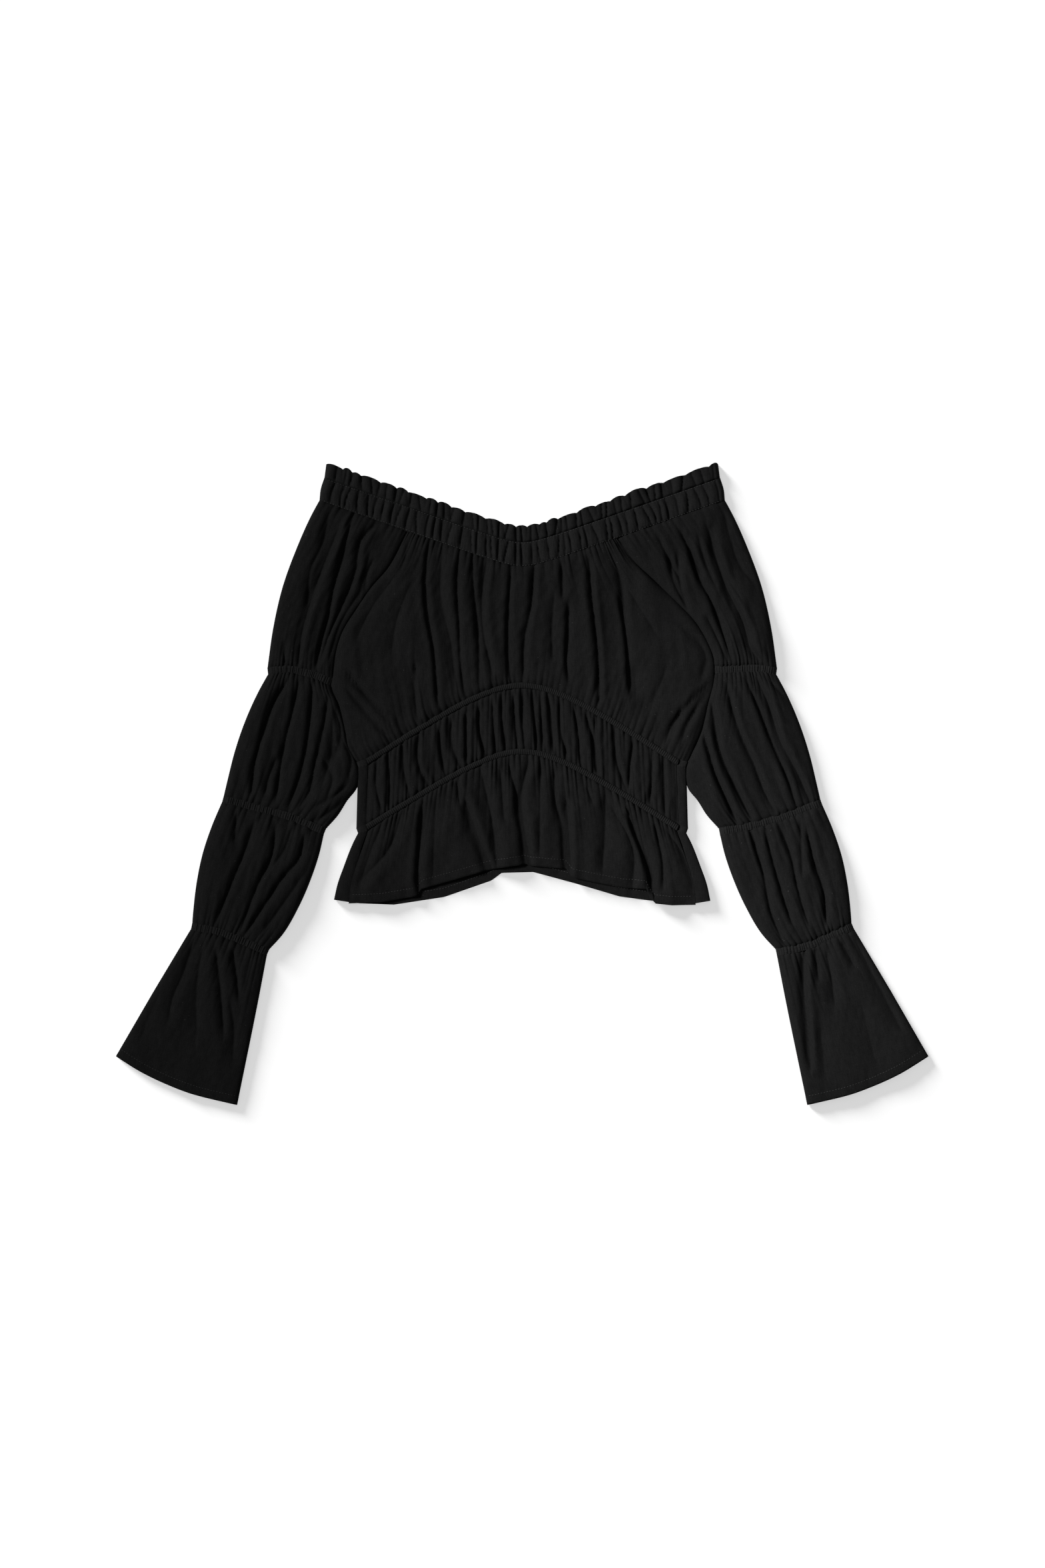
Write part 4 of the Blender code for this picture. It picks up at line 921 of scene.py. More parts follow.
def grid_object(name, grid, closed=False):
    """An object from rows of points, its rows joined end to end where it is closed."""
    rows, columns = grid.shape[:2]
    number = np.arange(rows * columns).reshape(rows, columns)
    if closed:
        number = np.concatenate([number, number[:, :1]], axis=1)
    corners = [number[:-1, :-1], number[1:, :-1], number[1:, 1:], number[:-1, 1:]]
    return mesh_object(name, grid.reshape(-1, 3), np.stack(corners, axis=-1).reshape(-1, 4).tolist())


def stitch_object(name, lines):
    """Topstitching along some lines on the cloth: short rounded stitches that dip in at both ends."""
    sizes = bpy.context.scene.top_cloth
    long, gap, radius = sizes.stitch_length / MM, sizes.stitch_gap / MM, sizes.thread_width / MM / 2
    turns = np.arange(STITCH_SIDES) * pi / (STITCH_SIDES / 2)
    points, faces = [], []
    for line in lines:
        runs = np.concatenate([[0.0], np.cumsum(np.hypot(*np.diff(line[:, :2], axis=0).T))])
        for start in np.arange(gap, runs[-1] - long, long + gap):
            first = len(points)
            runs_here = (start, start + long)
            begin, end = (np.array([np.interp(run, runs, way) for way in line.T]) for run in runs_here)
            ahead = (end - begin) / np.linalg.norm(end - begin)
            sideways = np.cross(ahead, (0.0, 0.0, 1.0))
            sideways /= np.linalg.norm(sideways)
            up = np.cross(sideways, ahead)
            for share, thick, lift in STITCH_PROFILE:
                centre = begin + share * (end - begin) + (lift * radius) * up
                for turn in turns:
                    points.append(centre + thick * radius * (cos(turn) * sideways + sin(turn) * up))
            for ring in range(first, len(points) - STITCH_SIDES, STITCH_SIDES):
                for k in range(STITCH_SIDES):
                    a, b = ring + k, ring + (k + 1) % STITCH_SIDES
                    faces.append((a, b, b + STITCH_SIDES, a + STITCH_SIDES))
            faces.append(tuple(range(first + STITCH_SIDES - 1, first - 1, -1)))
            faces.append(tuple(range(len(points) - STITCH_SIDES, len(points))))
    made = mesh_object(name, np.array(points), faces)
    made.data.materials.append(thread_finish())
    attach(made, "root")
    return made


def add_cloth(node, grid, finish, closed=False):
    """Add a cloth piece in place of its solid."""
    piece = grid_object(f"{node}_cloth", grid, closed)
    piece.data.materials.append(finish)
    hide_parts(node)
    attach(piece, "root")


def feed(node, inputs):
    """Link wires to a node's sockets, or set the sockets to values."""
    for name, value in inputs.items():
        if isinstance(value, Wire):
            value.tree.links.new(value.socket, node.inputs[name])
        else:
            node.inputs[name].default_value = value


class Wire:
    """A socket of a material's nodes. Sums and products of wires and numbers add Math nodes."""

    def __init__(self, tree, socket=None):
        self.tree = tree
        self.socket = socket

    def node(self, kind, settings=None, inputs=None, output=0):
        """Add a node of a kind, set it up, feed its sockets, and return an output of it."""
        made = self.tree.nodes.new(kind)
        for name, value in (settings or {}).items():
            setattr(made, name, value)
        feed(made, inputs or {})
        return Wire(self.tree, made.outputs[output])

    def math(self, operation, *inputs):
        return self.node("ShaderNodeMath", {"operation": operation}, dict(enumerate(inputs)))

    def __add__(self, other):
        return self.math("ADD", self, other)

    def __radd__(self, other):
        return self.math("ADD", other, self)

    def __mul__(self, other):
        return self.math("MULTIPLY", self, other)

    def __rmul__(self, other):
        return self.math("MULTIPLY", other, self)

    def noise(self, scale, detail):
        """Noise from 0 to 1 at this wire's places."""
        settings = {"noise_dimensions": "3D"}
        inputs = {"Vector": self, "Scale": scale, "Detail": detail, "Roughness": 0.6}
        return self.node("ShaderNodeTexNoise", settings, inputs)

    def stretched(self, scale, turn=0.0):
        """This wire's places, turned and scaled."""
        inputs = {"Vector": self, "Rotation": (0.0, 0.0, turn), "Scale": scale}
        return self.node("ShaderNodeMapping", {"vector_type": "POINT"}, inputs)

    def ramp(self, low, high):
        """0 below low, 1 above high and even between them."""
        inputs = {"Value": self, "From Min": low, "From Max": high}
        return self.node("ShaderNodeMapRange", {"clamp": True}, inputs)

    def between(self, first, second):
        """A colour between two others, nearer to the second where this wire is higher."""
        inputs = {"Factor": self, "A": first, "B": second}
        return self.node("ShaderNodeMix", {"data_type": "RGBA"}, inputs, "Result")


def new_finish(name):
    """A new material, its shader, and a wire to begin its expressions with."""
    made = bpy.data.materials.new(name)
    made.use_nodes = True
    return made, made.node_tree.nodes["Principled BSDF"], Wire(made.node_tree)


def crepe_finish(name, turn=0.0, ruched=False):
    """Black slubbed crepe: a fine weave, uneven yarns along it, paler flecks and a dry sheen. Ruched, it
    gets more relief and painted light: a paler colour.
    """
    known = bpy.data.materials.get(name)
    if known:
        return known
    look = bpy.context.scene.top_look
    made, shader, start = new_finish(name)
    places = start.node("ShaderNodeTexCoord", output="Object").stretched((1.0, 1.0, 1.0), turn)
    slub = places.stretched(SLUB_SCALE).noise(1.0, 3.0)
    weft = places.stretched(WEFT_SCALE).noise(1.0, 3.0)
    speckle = places.noise(SPECKLE_SCALE, 2.0)
    patches = places.noise(PATCH_SCALE, 4.0)
    lint = places.noise(LINT_SCALE, 1.0).ramp(*LINT_RANGE)
    yarns = 0.4 * slub + 0.25 * weft + 0.35 * speckle
    shade = yarns.ramp(*YARN_RANGE) * 0.75 + patches * 0.25
    # Painted light: ruched cloth gets a paler colour, as if more light fell on it
    paler = RUCHED_PAINTED_LIGHT if ruched else 1.0
    dark, light = ([paler * part for part in colour] for colour in (look.cloth_dark, look.cloth_light))
    colour = (lint * LINT_SHARE).between(shade.between((*dark, 1.0), (*light, 1.0)), (*look.fleck, 1.0))
    across = start.node("ShaderNodeSeparateXYZ", inputs={"Vector": places})
    down = Wire(made.node_tree, across.socket.node.outputs["Y"])
    warp, cross = (start.math("SINE", way * (2 * pi / look.weave_pitch)) for way in (across, down))
    relief = warp * cross * 0.16 + slub * 0.9 + speckle * 0.8 + weft * 0.5
    if ruched:
        relief = relief + places.noise(RUCHE_SCALE, 2.0) * 0.8
    inputs = {"Height": relief, "Strength": RELIEF_STRENGTH, "Distance": look.relief}
    bump = start.node("ShaderNodeBump", inputs=inputs)
    sockets = {
        "Base Color": colour,
        "Roughness": yarns * ROUGHNESS_SPREAD + (look.roughness - ROUGHNESS_SPREAD / 2),
        "Normal": bump,
        "Specular IOR Level": look.gloss,
        "Sheen Weight": look.sheen,
        "Sheen Roughness": 0.5,
        "Sheen Tint": (*look.sheen_tint, 1.0),
    }
    feed(shader, sockets)
    return made


def thread_finish():
    """Black sewing thread with a faint twist."""
    known = bpy.data.materials.get("sewing_thread")
    if known:
        return known
    look = bpy.context.scene.top_look
    made, shader, start = new_finish("sewing_thread")
    twist = start.node("ShaderNodeTexCoord", output="Object").stretched(TWIST_SCALE, 0.7).noise(1.0, 1.0)
    bump = start.node("ShaderNodeBump", inputs={"Height": twist, "Strength": 0.5, "Distance": 0.0001})
    sockets = {
        "Base Color": twist.between((*look.cloth_light, 1.0), (*look.thread, 1.0)),
        "Normal": bump,
        "Roughness": 0.6,
        "Specular IOR Level": look.gloss,
    }
    feed(shader, sockets)
    return made


class TopCloth(bpy.types.PropertyGroup):
    crease_strength: FloatProperty(
        name="Crease depth", description="How deep the creases are", default=1.5, min=0.0, subtype="FACTOR"
    )
    gather_height: FloatProperty(
        name="Gather height", description="Height of the gathers at the seams", default=0.0026, unit="LENGTH"
    )
    gather_pitch: FloatProperty(
        name="Gather pitch", description="Mean distance between gathers", default=0.0058, unit="LENGTH"
    )
    ruffle_wave: FloatProperty(
        name="Ruffle wave", description="Height of the ruffle's waves", default=0.0046, unit="LENGTH"
    )
    rib_pitch: FloatProperty(
        name="Rib pitch", description="Distance between an elastic's ribs", default=0.0020, unit="LENGTH"
    )
    rib_height: FloatProperty(
        name="Rib height", description="Height of an elastic's ribs", default=0.0006, unit="LENGTH"
    )
    hem_width: FloatProperty(
        name="Hem width", description="From a hem's edge to its stitching", default=0.0085, unit="LENGTH"
    )
    stitch_length: FloatProperty(
        name="Stitch length", description="Length of one stitch", default=0.0021, unit="LENGTH"
    )
    stitch_gap: FloatProperty(
        name="Stitch gap", description="Distance between two stitches", default=0.0008, unit="LENGTH"
    )
    thread_width: FloatProperty(
        name="Thread width", description="Width of the sewing thread", default=0.0005, unit="LENGTH"
    )


class TopLook(bpy.types.PropertyGroup):
    cloth_dark: FloatVectorProperty(
        name="Cloth, dark yarns",
        description="Colour of the darker yarns",
        default=(0.0014, 0.0014, 0.0014),
        min=0.0,
        max=1.0,
        subtype="COLOR",
    )
    cloth_light: FloatVectorProperty(
        name="Cloth, light yarns",
        description="Colour of the paler yarns",
        default=(0.0068, 0.0068, 0.0068),
        min=0.0,
        max=1.0,
        subtype="COLOR",
    )
    fleck: FloatVectorProperty(
        name="Flecks",
        description="Colour of the flecks of fluff",
        default=(0.045, 0.045, 0.045),
        min=0.0,
        max=1.0,
        subtype="COLOR",
    )
    thread: FloatVectorProperty(
        name="Thread",
        description="Colour of the sewing thread",
        default=(0.035, 0.035, 0.035),
        min=0.0,
        max=1.0,
        subtype="COLOR",
    )
    sheen_tint: FloatVectorProperty(
        name="Sheen tint",
        description="Colour of the dry sheen",
        default=(0.10, 0.10, 0.10),
        min=0.0,
        max=1.0,
        subtype="COLOR",
    )
    sheen: FloatProperty(
        name="Sheen", description="Strength of the dry sheen", default=0.02, min=0.0, subtype="FACTOR"
    )
    gloss: FloatProperty(
        name="Gloss", description="Strength of the highlights", default=0.035, min=0.0, subtype="FACTOR"
    )
    roughness: FloatProperty(
        name="Roughness", description="Mean roughness", default=0.9, min=0.0, max=1.0, subtype="FACTOR"
    )
    weave_pitch: FloatProperty(
        name="Weave pitch", description="Distance between yarns", default=0.0006, unit="LENGTH"
    )
    relief: FloatProperty(
        name="Relief", description="Depth of the weave and slubs", default=0.00022, unit="LENGTH"
    )


class TopStage(bpy.types.PropertyGroup):
    frame_height: FloatProperty(
        name="Frame height", description="What the camera sees, top to bottom", default=1.5288, unit="LENGTH"
    )
    camera_height: FloatProperty(
        name="Camera height", description="Height of the camera over the floor", default=2.6, unit="LENGTH"
    )
    key_strength: FloatProperty(
        name="Key light", description="Strength of the key light on the top", default=4.6, min=0.0
    )
    key_softness: FloatProperty(
        name="Key softness", description="How wide the key light is", default=radians(16.0), subtype="ANGLE"
    )
    key_turn: FloatProperty(
        name="Key direction",
        description="Where the key light comes from",
        default=radians(166.0),
        subtype="ANGLE",
    )
    key_height: FloatProperty(
        name="Key height",
        description="Angle of the key light over the floor",
        default=radians(38.0),
        subtype="ANGLE",
    )
    spot_power: FloatProperty(
        name="Spotlight",
        description="Power of the soft spotlight on the right",
        default=1080.0,
        unit="POWER",
    )
    low_strength: FloatProperty(
        name="Low light",
        description="Strength of the low light that throws the soft shadow",
        default=8.0,
        min=0.0,
    )
    low_softness: FloatProperty(
        name="Low softness", description="How wide the low light is", default=radians(17.0), subtype="ANGLE"
    )
    low_turn: FloatProperty(
        name="Low direction",
        description="Where the low light comes from",
        default=radians(135.0),
        subtype="ANGLE",
    )
    low_height: FloatProperty(
        name="Low height",
        description="Angle of the low light over the floor",
        default=radians(10.0),
        subtype="ANGLE",
    )
    sky: FloatProperty(name="Sky", description="Strength of the even light around", default=0.22, min=0.0)
    floor: FloatVectorProperty(
        name="Floor",
        description="Colour of the floor",
        default=(0.9, 0.9, 0.9),
        min=0.0,
        max=1.0,
        subtype="COLOR",
    )
    floor_glow: FloatProperty(
        name="Floor glow",
        description="The floor's own white light, which pales shadows on it",
        default=0.48,
        min=0.0,
    )


def gathers_for(length, seed, reach=9.0, scale=1.0):
    """Gathers along a seam of a length in millimetres, with the scene's pitch and height."""
    sizes = bpy.context.scene.top_cloth
    height = scale * sizes.gather_height / MM
    return make_gathers(length, sizes.gather_pitch / MM, height, reach, seed)


def mirrored(points):
    """The same points on the other side of the middle."""
    return tuple(Point(-p.x, p.y) for p in points)


def mirrored_creases(creases):
    """The same creases on the other side of the middle, for the back."""
    middle = 2 * PHOTO_MIDDLE[0]
    return tuple(c._replace(lean=0.0, points=tuple((middle - x, y) for x, y in c.points)) for c in creases)


def side_points(points):
    """The points of a side of the body, started under the neck casing."""
    return (Point(points[0].x, float(neck_line(points[0].x)) + OVERLAP), *points[1:])


def body_sides(above_bust):
    """The two sides of the bodice, ending on the ends of the bust seam."""
    sides = []
    for points, share in ((LEFT_SIDE, 0.0), (RIGHT_SIDE, 1.0)):
        sides.append(smooth_curve((*side_points(points)[:SIDE_ROWS_TO_BUST], above_bust(share))))
    return sides


def bodice_surface():
    """The bodice's surface, from under the neck casing to under the bust elastic."""
    above_bust = shifted(arch_curve(BUST, BODY_HALF_WIDTH), CHANNEL_WIDTH / 2 - OVERLAP)
    return patch(bodice_neck_curve(OVERLAP), above_bust, *body_sides(above_bust), BODICE_SIDE_POWER)


def midriff_surface(half_span):
    """The midriff's surface between the bust and waist elastics."""
    bust, waist = arch_curve(BUST, half_span), arch_curve(WAIST, half_span)
    clear = CHANNEL_WIDTH / 2 - OVERLAP
    return straight_patch(shifted(bust, -clear), shifted(waist, clear))


def peplum_surface(half_span, hem, turns=(0.0, 0.0)):
    """The peplum's surface from the waist elastic to a hem, its sides moved in by some widths."""
    top = shifted(arch_curve(WAIST, half_span), OVERLAP - CHANNEL_WIDTH / 2)
    bottom = straight_curve(hem)
    moved = np.linspace(*turns, len(PEPLUM_SIDE) + 2)[1:-1]
    sides = []
    for towards, share in ((-1, 0.0), (1, 1.0)):
        side = [(towards * (p.x - turn), p.y) for p, turn in zip(PEPLUM_SIDE, moved)]
        sides.append(smooth_curve((top(share), *side, bottom(share))))
    return patch(top, bottom, *sides)


def stitched(cloth, distance, under=False):
    """A line of places for topstitching on a cloth, at a distance from its hem."""
    width, _ = size_of(cloth.surface)
    shares = np.linspace(*STITCHED_SHARE, int(width))
    v = 1 - distance / span(cloth.surface(shares, 0.0), cloth.surface(shares, 1.0))
    return cloth.under(shares, v) if under else cloth.at(shares, v)


class TOP_OT_back(bpy.types.Operator):
    """Make the back: bodice, elastics, midriff and peplum, flat on the floor and turned round the sides"""

    bl_idname = "top.back"
    bl_label = "Back"

    def execute(self, context):
        cloth, casing = crepe_finish("black_crepe"), crepe_finish("ruched_crepe_painted_light", ruched=True)
        sizes = context.scene.top_cloth
        hem = sizes.hem_width / MM
        surface = bodice_surface()
        width, length = size_of(surface)
        back = Cloth(
            surface,
            0.0,
            seed=13,
            creases=mirrored_creases(BODICE_CREASES),
            top=gathers_for(width, 11),
            bottom=gathers_for(width, 12),
        )
        u, v = np.meshgrid(spread(width, UNDER_STEP / 2), spread(length, STEP_DOWN))
        add_cloth("back_bodice", back.under(u, v), cloth)

        level = (TURN_WIDTH, TURN_WIDTH)
        grid = turned_grid(
            midriff_surface(BODY_HALF_WIDTH),
            level,
            STEP_DOWN,
            wrinkle=0.16,
            seed=21,
            creases=mirrored_creases(MIDRIFF_CREASES),
            top=gathers_for(BACK_SEAM, 22),
            bottom=gathers_for(BACK_SEAM, 23),
        )
        add_cloth("back_midriff", grid, cloth)

        surface = peplum_surface(BODY_HALF_WIDTH, BACK_HEM)
        peplum = Cloth(surface, 0.0, seed=25, creases=mirrored_creases(PEPLUM_CREASES))
        grid = turned_grid(
            surface,
            (TURN_WIDTH, HEM_TURN_WIDTH),
            STEP_DOWN,
            wrinkle=0.12,
            seed=24,
            creases=peplum.creases,
            top=gathers_for(BACK_SEAM, 26),
        )
        line = stitched(peplum, hem, under=True) + np.array([0.0, 0.0, UNDER_STITCHES])
        stitches = stitch_object("back_hem_stitches", [line])
        add_cloth("back_peplum", grid, cloth)

        for name, arch, seed in (("bust_channel_back", BUST, 27), ("waist_channel_back", WAIST, 28)):
            band = band_surface(arch_curve(arch, BODY_HALF_WIDTH), CHANNEL_WIDTH)
            grid = turned_grid(band, level, CHANNEL_STEP_DOWN, 0.1, seed, ribs=sizes.rib_pitch / MM)
            add_cloth(name, grid, casing)
        return {"FINISHED"}


class TOP_OT_front(bpy.types.Operator):
    """Make the front: bodice, midriff and peplum with their creases and gathers"""

    bl_idname = "top.front"
    bl_label = "Front"

    def execute(self, context):
        cloth = crepe_finish("black_crepe")
        hem = context.scene.top_cloth.hem_width / MM
        bodice = Cloth(
            bodice_surface(),
            BODICE_LOFT,
            seed=3,
            edge=BODICE_EDGE,
            creases=BODICE_CREASES,
            top=gathers_for(NECK_SEAM, 1, reach=7.0),
            bottom=gathers_for(BUST_SEAM, 2, reach=8.0),
        )
        grid = face_grid(bodice)
        add_cloth("front_bodice", grid, cloth)

        midriff = Cloth(
            midriff_surface(CHANNEL_HALF_SPAN),
            MIDRIFF_LOFT,
            seed=6,
            edge=FRONT_EDGE,
            creases=MIDRIFF_CREASES,
            top=gathers_for(FRONT_SEAM, 4),
            bottom=gathers_for(FRONT_SEAM, 5),
        )
        grid = face_grid(midriff, MIDRIFF_STEP)
        add_cloth("front_midriff", grid, cloth)

        peplum = Cloth(
            peplum_surface(CHANNEL_HALF_SPAN, FRONT_HEM, turns=(TURN_WIDTH, HEM_TURN_WIDTH)),
            PEPLUM_LOFT,
            seed=8,
            edge=FRONT_EDGE,
            creases=PEPLUM_CREASES,
            top=gathers_for(FRONT_SEAM, 7, reach=11.0, scale=1.2),
            hem=hem,
        )
        stitches = [stitch_object("front_hem_stitches", [stitched(peplum, hem)])]
        grid = face_grid(peplum, PEPLUM_STEP)
        add_cloth("front_peplum", grid, cloth)
        return {"FINISHED"}


class TOP_OT_elastics(bpy.types.Operator):
    """Make the ribbed elastic casings across the bust and the waist"""

    bl_idname = "top.elastics"
    bl_label = "Bust and waist elastics"

    def execute(self, context):
        casing = crepe_finish("ruched_crepe_painted_light", ruched=True)
        pitch = context.scene.top_cloth.rib_pitch / MM
        for name, arch in (("bust_channel_front", BUST), ("waist_channel_front", WAIST)):
            line = arch_curve(arch, CHANNEL_HALF_SPAN + OVERLAP)
            grid = band_grid(line, run_of(line, 200), CHANNEL_WIDTH + CHANNEL_PROUD, pitch)
            add_cloth(name, grid, casing)
        return {"FINISHED"}


class TOP_OT_neck(bpy.types.Operator):
    """Make the ruched neck casing and the ruffle above it, all round"""

    bl_idname = "top.neck"
    bl_label = "Neck casing and ruffle"

    def execute(self, context):
        # Both finishes carry painted light: the cloth colour made paler
        ruched, ruffled = (crepe_finish(name, ruched=True) for name in ("ruched_crepe_painted_light", "ruffle_crepe_painted_light"))
        sides = []
        for towards in (-1, 1):
            foot = Point(towards * NECK_HALF_WIDTH, neck_line(NECK_HALF_WIDTH))
            head = Point(towards * CASING_TOP_HALF_WIDTH, neck_line(CASING_TOP_HALF_WIDTH, CASING_HEIGHT))
            middle = Point((foot.x + head.x) / 2 + towards * CASING_BULGE, (foot.y + head.y) / 2)
            sides.append(smooth_curve((head, middle, foot)))
        head_curve = neck_curve(-CASING_TOP_HALF_WIDTH, CASING_TOP_HALF_WIDTH, CASING_HEIGHT, NECK_LEAN)
        casing = patch(head_curve, neck_curve(-NECK_HALF_WIDTH, NECK_HALF_WIDTH), *sides)
        pleats = make_gathers(2 * NECK_HALF_WIDTH, CASING_PLEAT_PITCH, 1.0, NO_FADE, 41)
        small = make_gathers(2 * NECK_HALF_WIDTH, SMALL_PLEAT_PITCH, 1.0, NO_FADE, 42)
        grid = pleated_tube(casing, pleats, small, casing_profile)
        lines = [pleated_line(casing, pleats, small, casing_profile, v) for v in CASING_STITCH_LINES]
        stitches = [stitch_object("neck_casing_stitches", lines)]
        add_cloth("neck_casing", grid, ruched, closed=True)

        wave = context.scene.top_cloth.ruffle_wave / MM
        edge_waves = make_gathers(2 * NECK_HALF_WIDTH, RUFFLE_WAVE_PITCH, 1.0, NO_FADE, 43)

        def ruffle(u, v):
            u, v = np.broadcast_arrays(np.asarray(u, dtype=float), np.asarray(v, dtype=float))
            half = RUFFLE_HALF_WIDTH + (CASING_TOP_HALF_WIDTH - RUFFLE_HALF_WIDTH) * v
            lean = np.where(u < 0.5, *NECK_LEAN) * np.sin(pi * np.abs(2 * u - 1)) * (1 + FLARE * (1 - v))
            x = half * (2 * u - 1) + lean
            scallop = SCALLOP * gather_rise(edge_waves, u, 0.0)[0] - SCALLOP / 2
            y = neck_line(x, CASING_HEIGHT - OVERLAP) + (1 - v) * (RUFFLE_HEIGHT + OVERLAP + scallop)
            return np.stack([x, y], axis=-1)

        def ruffle_profile(v, rise, large):
            foot = 1 - np.exp(-(1 - v) * RUFFLE_HEIGHT / RUFFLE_FOOT)
            waving = FOOT_WAVE + EDGE_WAVE * (1 - v)
            return LEAST_PUFF + foot * wave * (RUFFLE_PLEAT * rise + waving * large)

        grid = pleated_tube(ruffle, pleats, edge_waves, ruffle_profile)
        add_cloth("neck_ruffle", grid, ruffled, closed=True)
        return {"FINISHED"}


def casing_profile(v, rise, little):
    """The neck casing's height over its base: puffed between its two stitched lines."""
    puff = np.sin(pi * np.clip(v, 0, 1)) ** PUFF_POWER
    pinch = SMALL_PLEATS_INSIDE + SMALL_PLEATS_AT_STITCHES * (2 * v - 1) ** 2
    return LEAST_PUFF + puff * (CASING_PUFF * rise + pinch * little)


def pleat_heights(pleats, small, u, v, profile):
    """Heights of a pleated band from its large and small pleats."""
    slow, quick = SLANT_SWAYS
    slant = PLEAT_SLANT * (v - 0.5) * (np.sin(slow * u) + np.sin(quick * u + 1.0))
    rise = gather_rise(pleats, np.clip(u + slant, 0, 1), 0.0)[0] ** PLEAT_POWER
    little = gather_rise(small, np.clip(u - slant, 0, 1), 0.0)[0]
    return profile(v, rise, little)


def pleated_tube(surface, pleats, small, profile):
    """A flattened loop of pleated cloth, as rings of points."""
    width, length = size_of(surface)
    u, v = np.meshgrid(spread(width, PLEAT_STEP), spread(length, PLEAT_STEP_DOWN))
    stations = v[:, :1]
    away = np.minimum(u, 1 - u) * width
    height = FRONT_BASE - SLEEVE_EDGE + pleat_heights(pleats, small, u, v, profile)
    upper = raised(surface(u, v), SLEEVE_EDGE + (1 - np.exp(-away / NECK_ROLL)) * height)
    tuck = EDGE_TUCK / width
    back = tuck + (1 - 2 * tuck) * spread(width, PLEAT_UNDER_STEP)[None, ::-1]
    middle, here = (pleat_heights(pleats, small, across, stations, profile) for across in (0.5, back))
    under_z = FLOOR_GAP + UNDER_PLEAT * np.maximum(middle - here, 0.0)
    lower = raised(surface(back, stations), np.minimum(under_z, FLOOR_GAP + BACK_MOST))
    return ring_grid(surface, tuck, stations, upper, lower)


def pleated_line(surface, pleats, small, profile, down):
    """A line of places for topstitching on a pleated band."""
    width, _ = size_of(surface)
    u = np.linspace(0.01, 0.99, int(width))
    v = np.full_like(u, down)
    return raised(surface(u, v), FRONT_BASE + pleat_heights(pleats, small, u, v, profile))


class TOP_OT_sleeves(bpy.types.Operator):
    """Make both sleeves: four puffed tubes each, the last a flared cuff, with three elastics between them"""

    bl_idname = "top.sleeves"
    bl_label = "Sleeves"

    def execute(self, context):
        for side in ("left", "right"):
            make_sleeve(side, context.scene.top_cloth)
        return {"FINISHED"}


def make_sleeve(side, sizes):
    """One sleeve, from the shoulder down."""
    left = side == "left"
    outwards = -1.0 if left else 1.0
    side_of = tuple if left else mirrored
    grain = outwards * SLEEVE_LEAN
    cloth = crepe_finish(f"black_crepe_{side}_sleeve", turn=-grain)
    casing = crepe_finish("ruched_crepe_painted_light", ruched=True)
    hem = sizes.hem_width / MM
    elastics = [smooth_curve(side_of(line)) for line in ELASTIC_LINES[side]]
    clear = ELASTIC_WIDTH / 2 - OVERLAP
    above = [shifted(line, -outwards * clear) for line in elastics]
    below = [shifted(line, outwards * clear) for line in elastics]
    body = side_points(LEFT_SIDE if left else RIGHT_SIDE)[:SIDE_ROWS_TO_BUST]
    body = (*body, *(Point(outwards * BODY_HALF_WIDTH, y) for y in BELOW_BUST))
    bodies = shifted(smooth_curve(body), -outwards * SIDE_OVERLAP)
    neck = neck_curve(outwards * NECK_HALF_WIDTH, body[0].x - outwards * SIDE_OVERLAP, OVERLAP)
    outers = [smooth_curve(side_of(p)) for p in (SHOULDER_OUTER, ELBOW_OUTER, FOREARM_OUTER)]
    outers.append(straight_curve(side_of(CUFF_OUTER)))
    seam_end, underarm = Point(*above[0](1.0)), Point(*below[0](1.0))
    body_edge = [Point(*p) for p in bodies(np.linspace(0, 1, SIDE_SAMPLES))]
    raglan = smooth_curve((*[p for p in body_edge if p.y > seam_end.y + SIDE_STEP], seam_end))
    along_body = [p for p in body_edge if NOTCH_Y < p.y < underarm.y - SIDE_STEP]
    elbow_inner = smooth_curve((underarm, *along_body, *side_of(ELBOW_INNER_BELOW_BODY)))
    inners = [raglan, elbow_inner, smooth_curve(side_of(FOREARM_INNER)), smooth_curve(side_of(CUFF_INNER))]
    tops = [neck, below[0], below[1], below[2]]
    bottoms = [above[0], above[1], above[2], smooth_curve(side_of(CUFF_HEM))]
    first_seed = SLEEVE_SEEDS[side]
    for number, (name, cut) in enumerate(SLEEVE_CUTS.items()):
        top, bottom = tops[number], bottoms[number]
        outer = bent_to(outers[number], top(0.0), bottom(0.0))
        inner = bent_to(inners[number], top(1.0), bottom(1.0))
        surface = patch(top, bottom, outer, inner)
        last = name == "cuff"
        seed = first_seed + 4 * number
        panel = Cloth(
            surface,
            CUFF_LOFT if last else SLEEVE_LOFT,
            seed=seed + 2,
            edge=SLEEVE_EDGE,
            creases=SLEEVE_CREASES[f"{name}_{side}"],
            top=gathers_for(SLEEVE_SEAM, seed, reach=10.0),
            bottom=None if last else gathers_for(SLEEVE_SEAM, seed + 1),
            hem=hem if last else 0.0,
            grain=grain,
            wavy=CUFF_WAVY if last else 1.0,
        )
        stitches = [stitch_object(f"cuff_stitches_{side}", [stitched(panel, hem)])] if last else []
        grid = tube_grid(panel)
        add_cloth(f"sleeve_{name}_{side}", grid, cloth, closed=True)

    pitch = sizes.rib_pitch / MM
    for number, (place, line) in enumerate(zip(("upper", "middle", "lower"), elastics)):
        length = run_of(line, 60)
        grid = ring_band_grid(line, length, ELASTIC_WIDTH + ELASTIC_PROUD, pitch, first_seed + 20 + number)
        cut = (ELASTIC_CUT_FULLNESS * length, ELASTIC_CUT_WIDTH)
        add_cloth(f"sleeve_elastic_{place}_{side}", grid, casing, closed=True)


def sun_direction(turn, height):
    """Towards a light from its turn round the top and its angle over the floor."""
    return Vector((cos(turn) * cos(height), sin(turn) * cos(height), sin(height)))


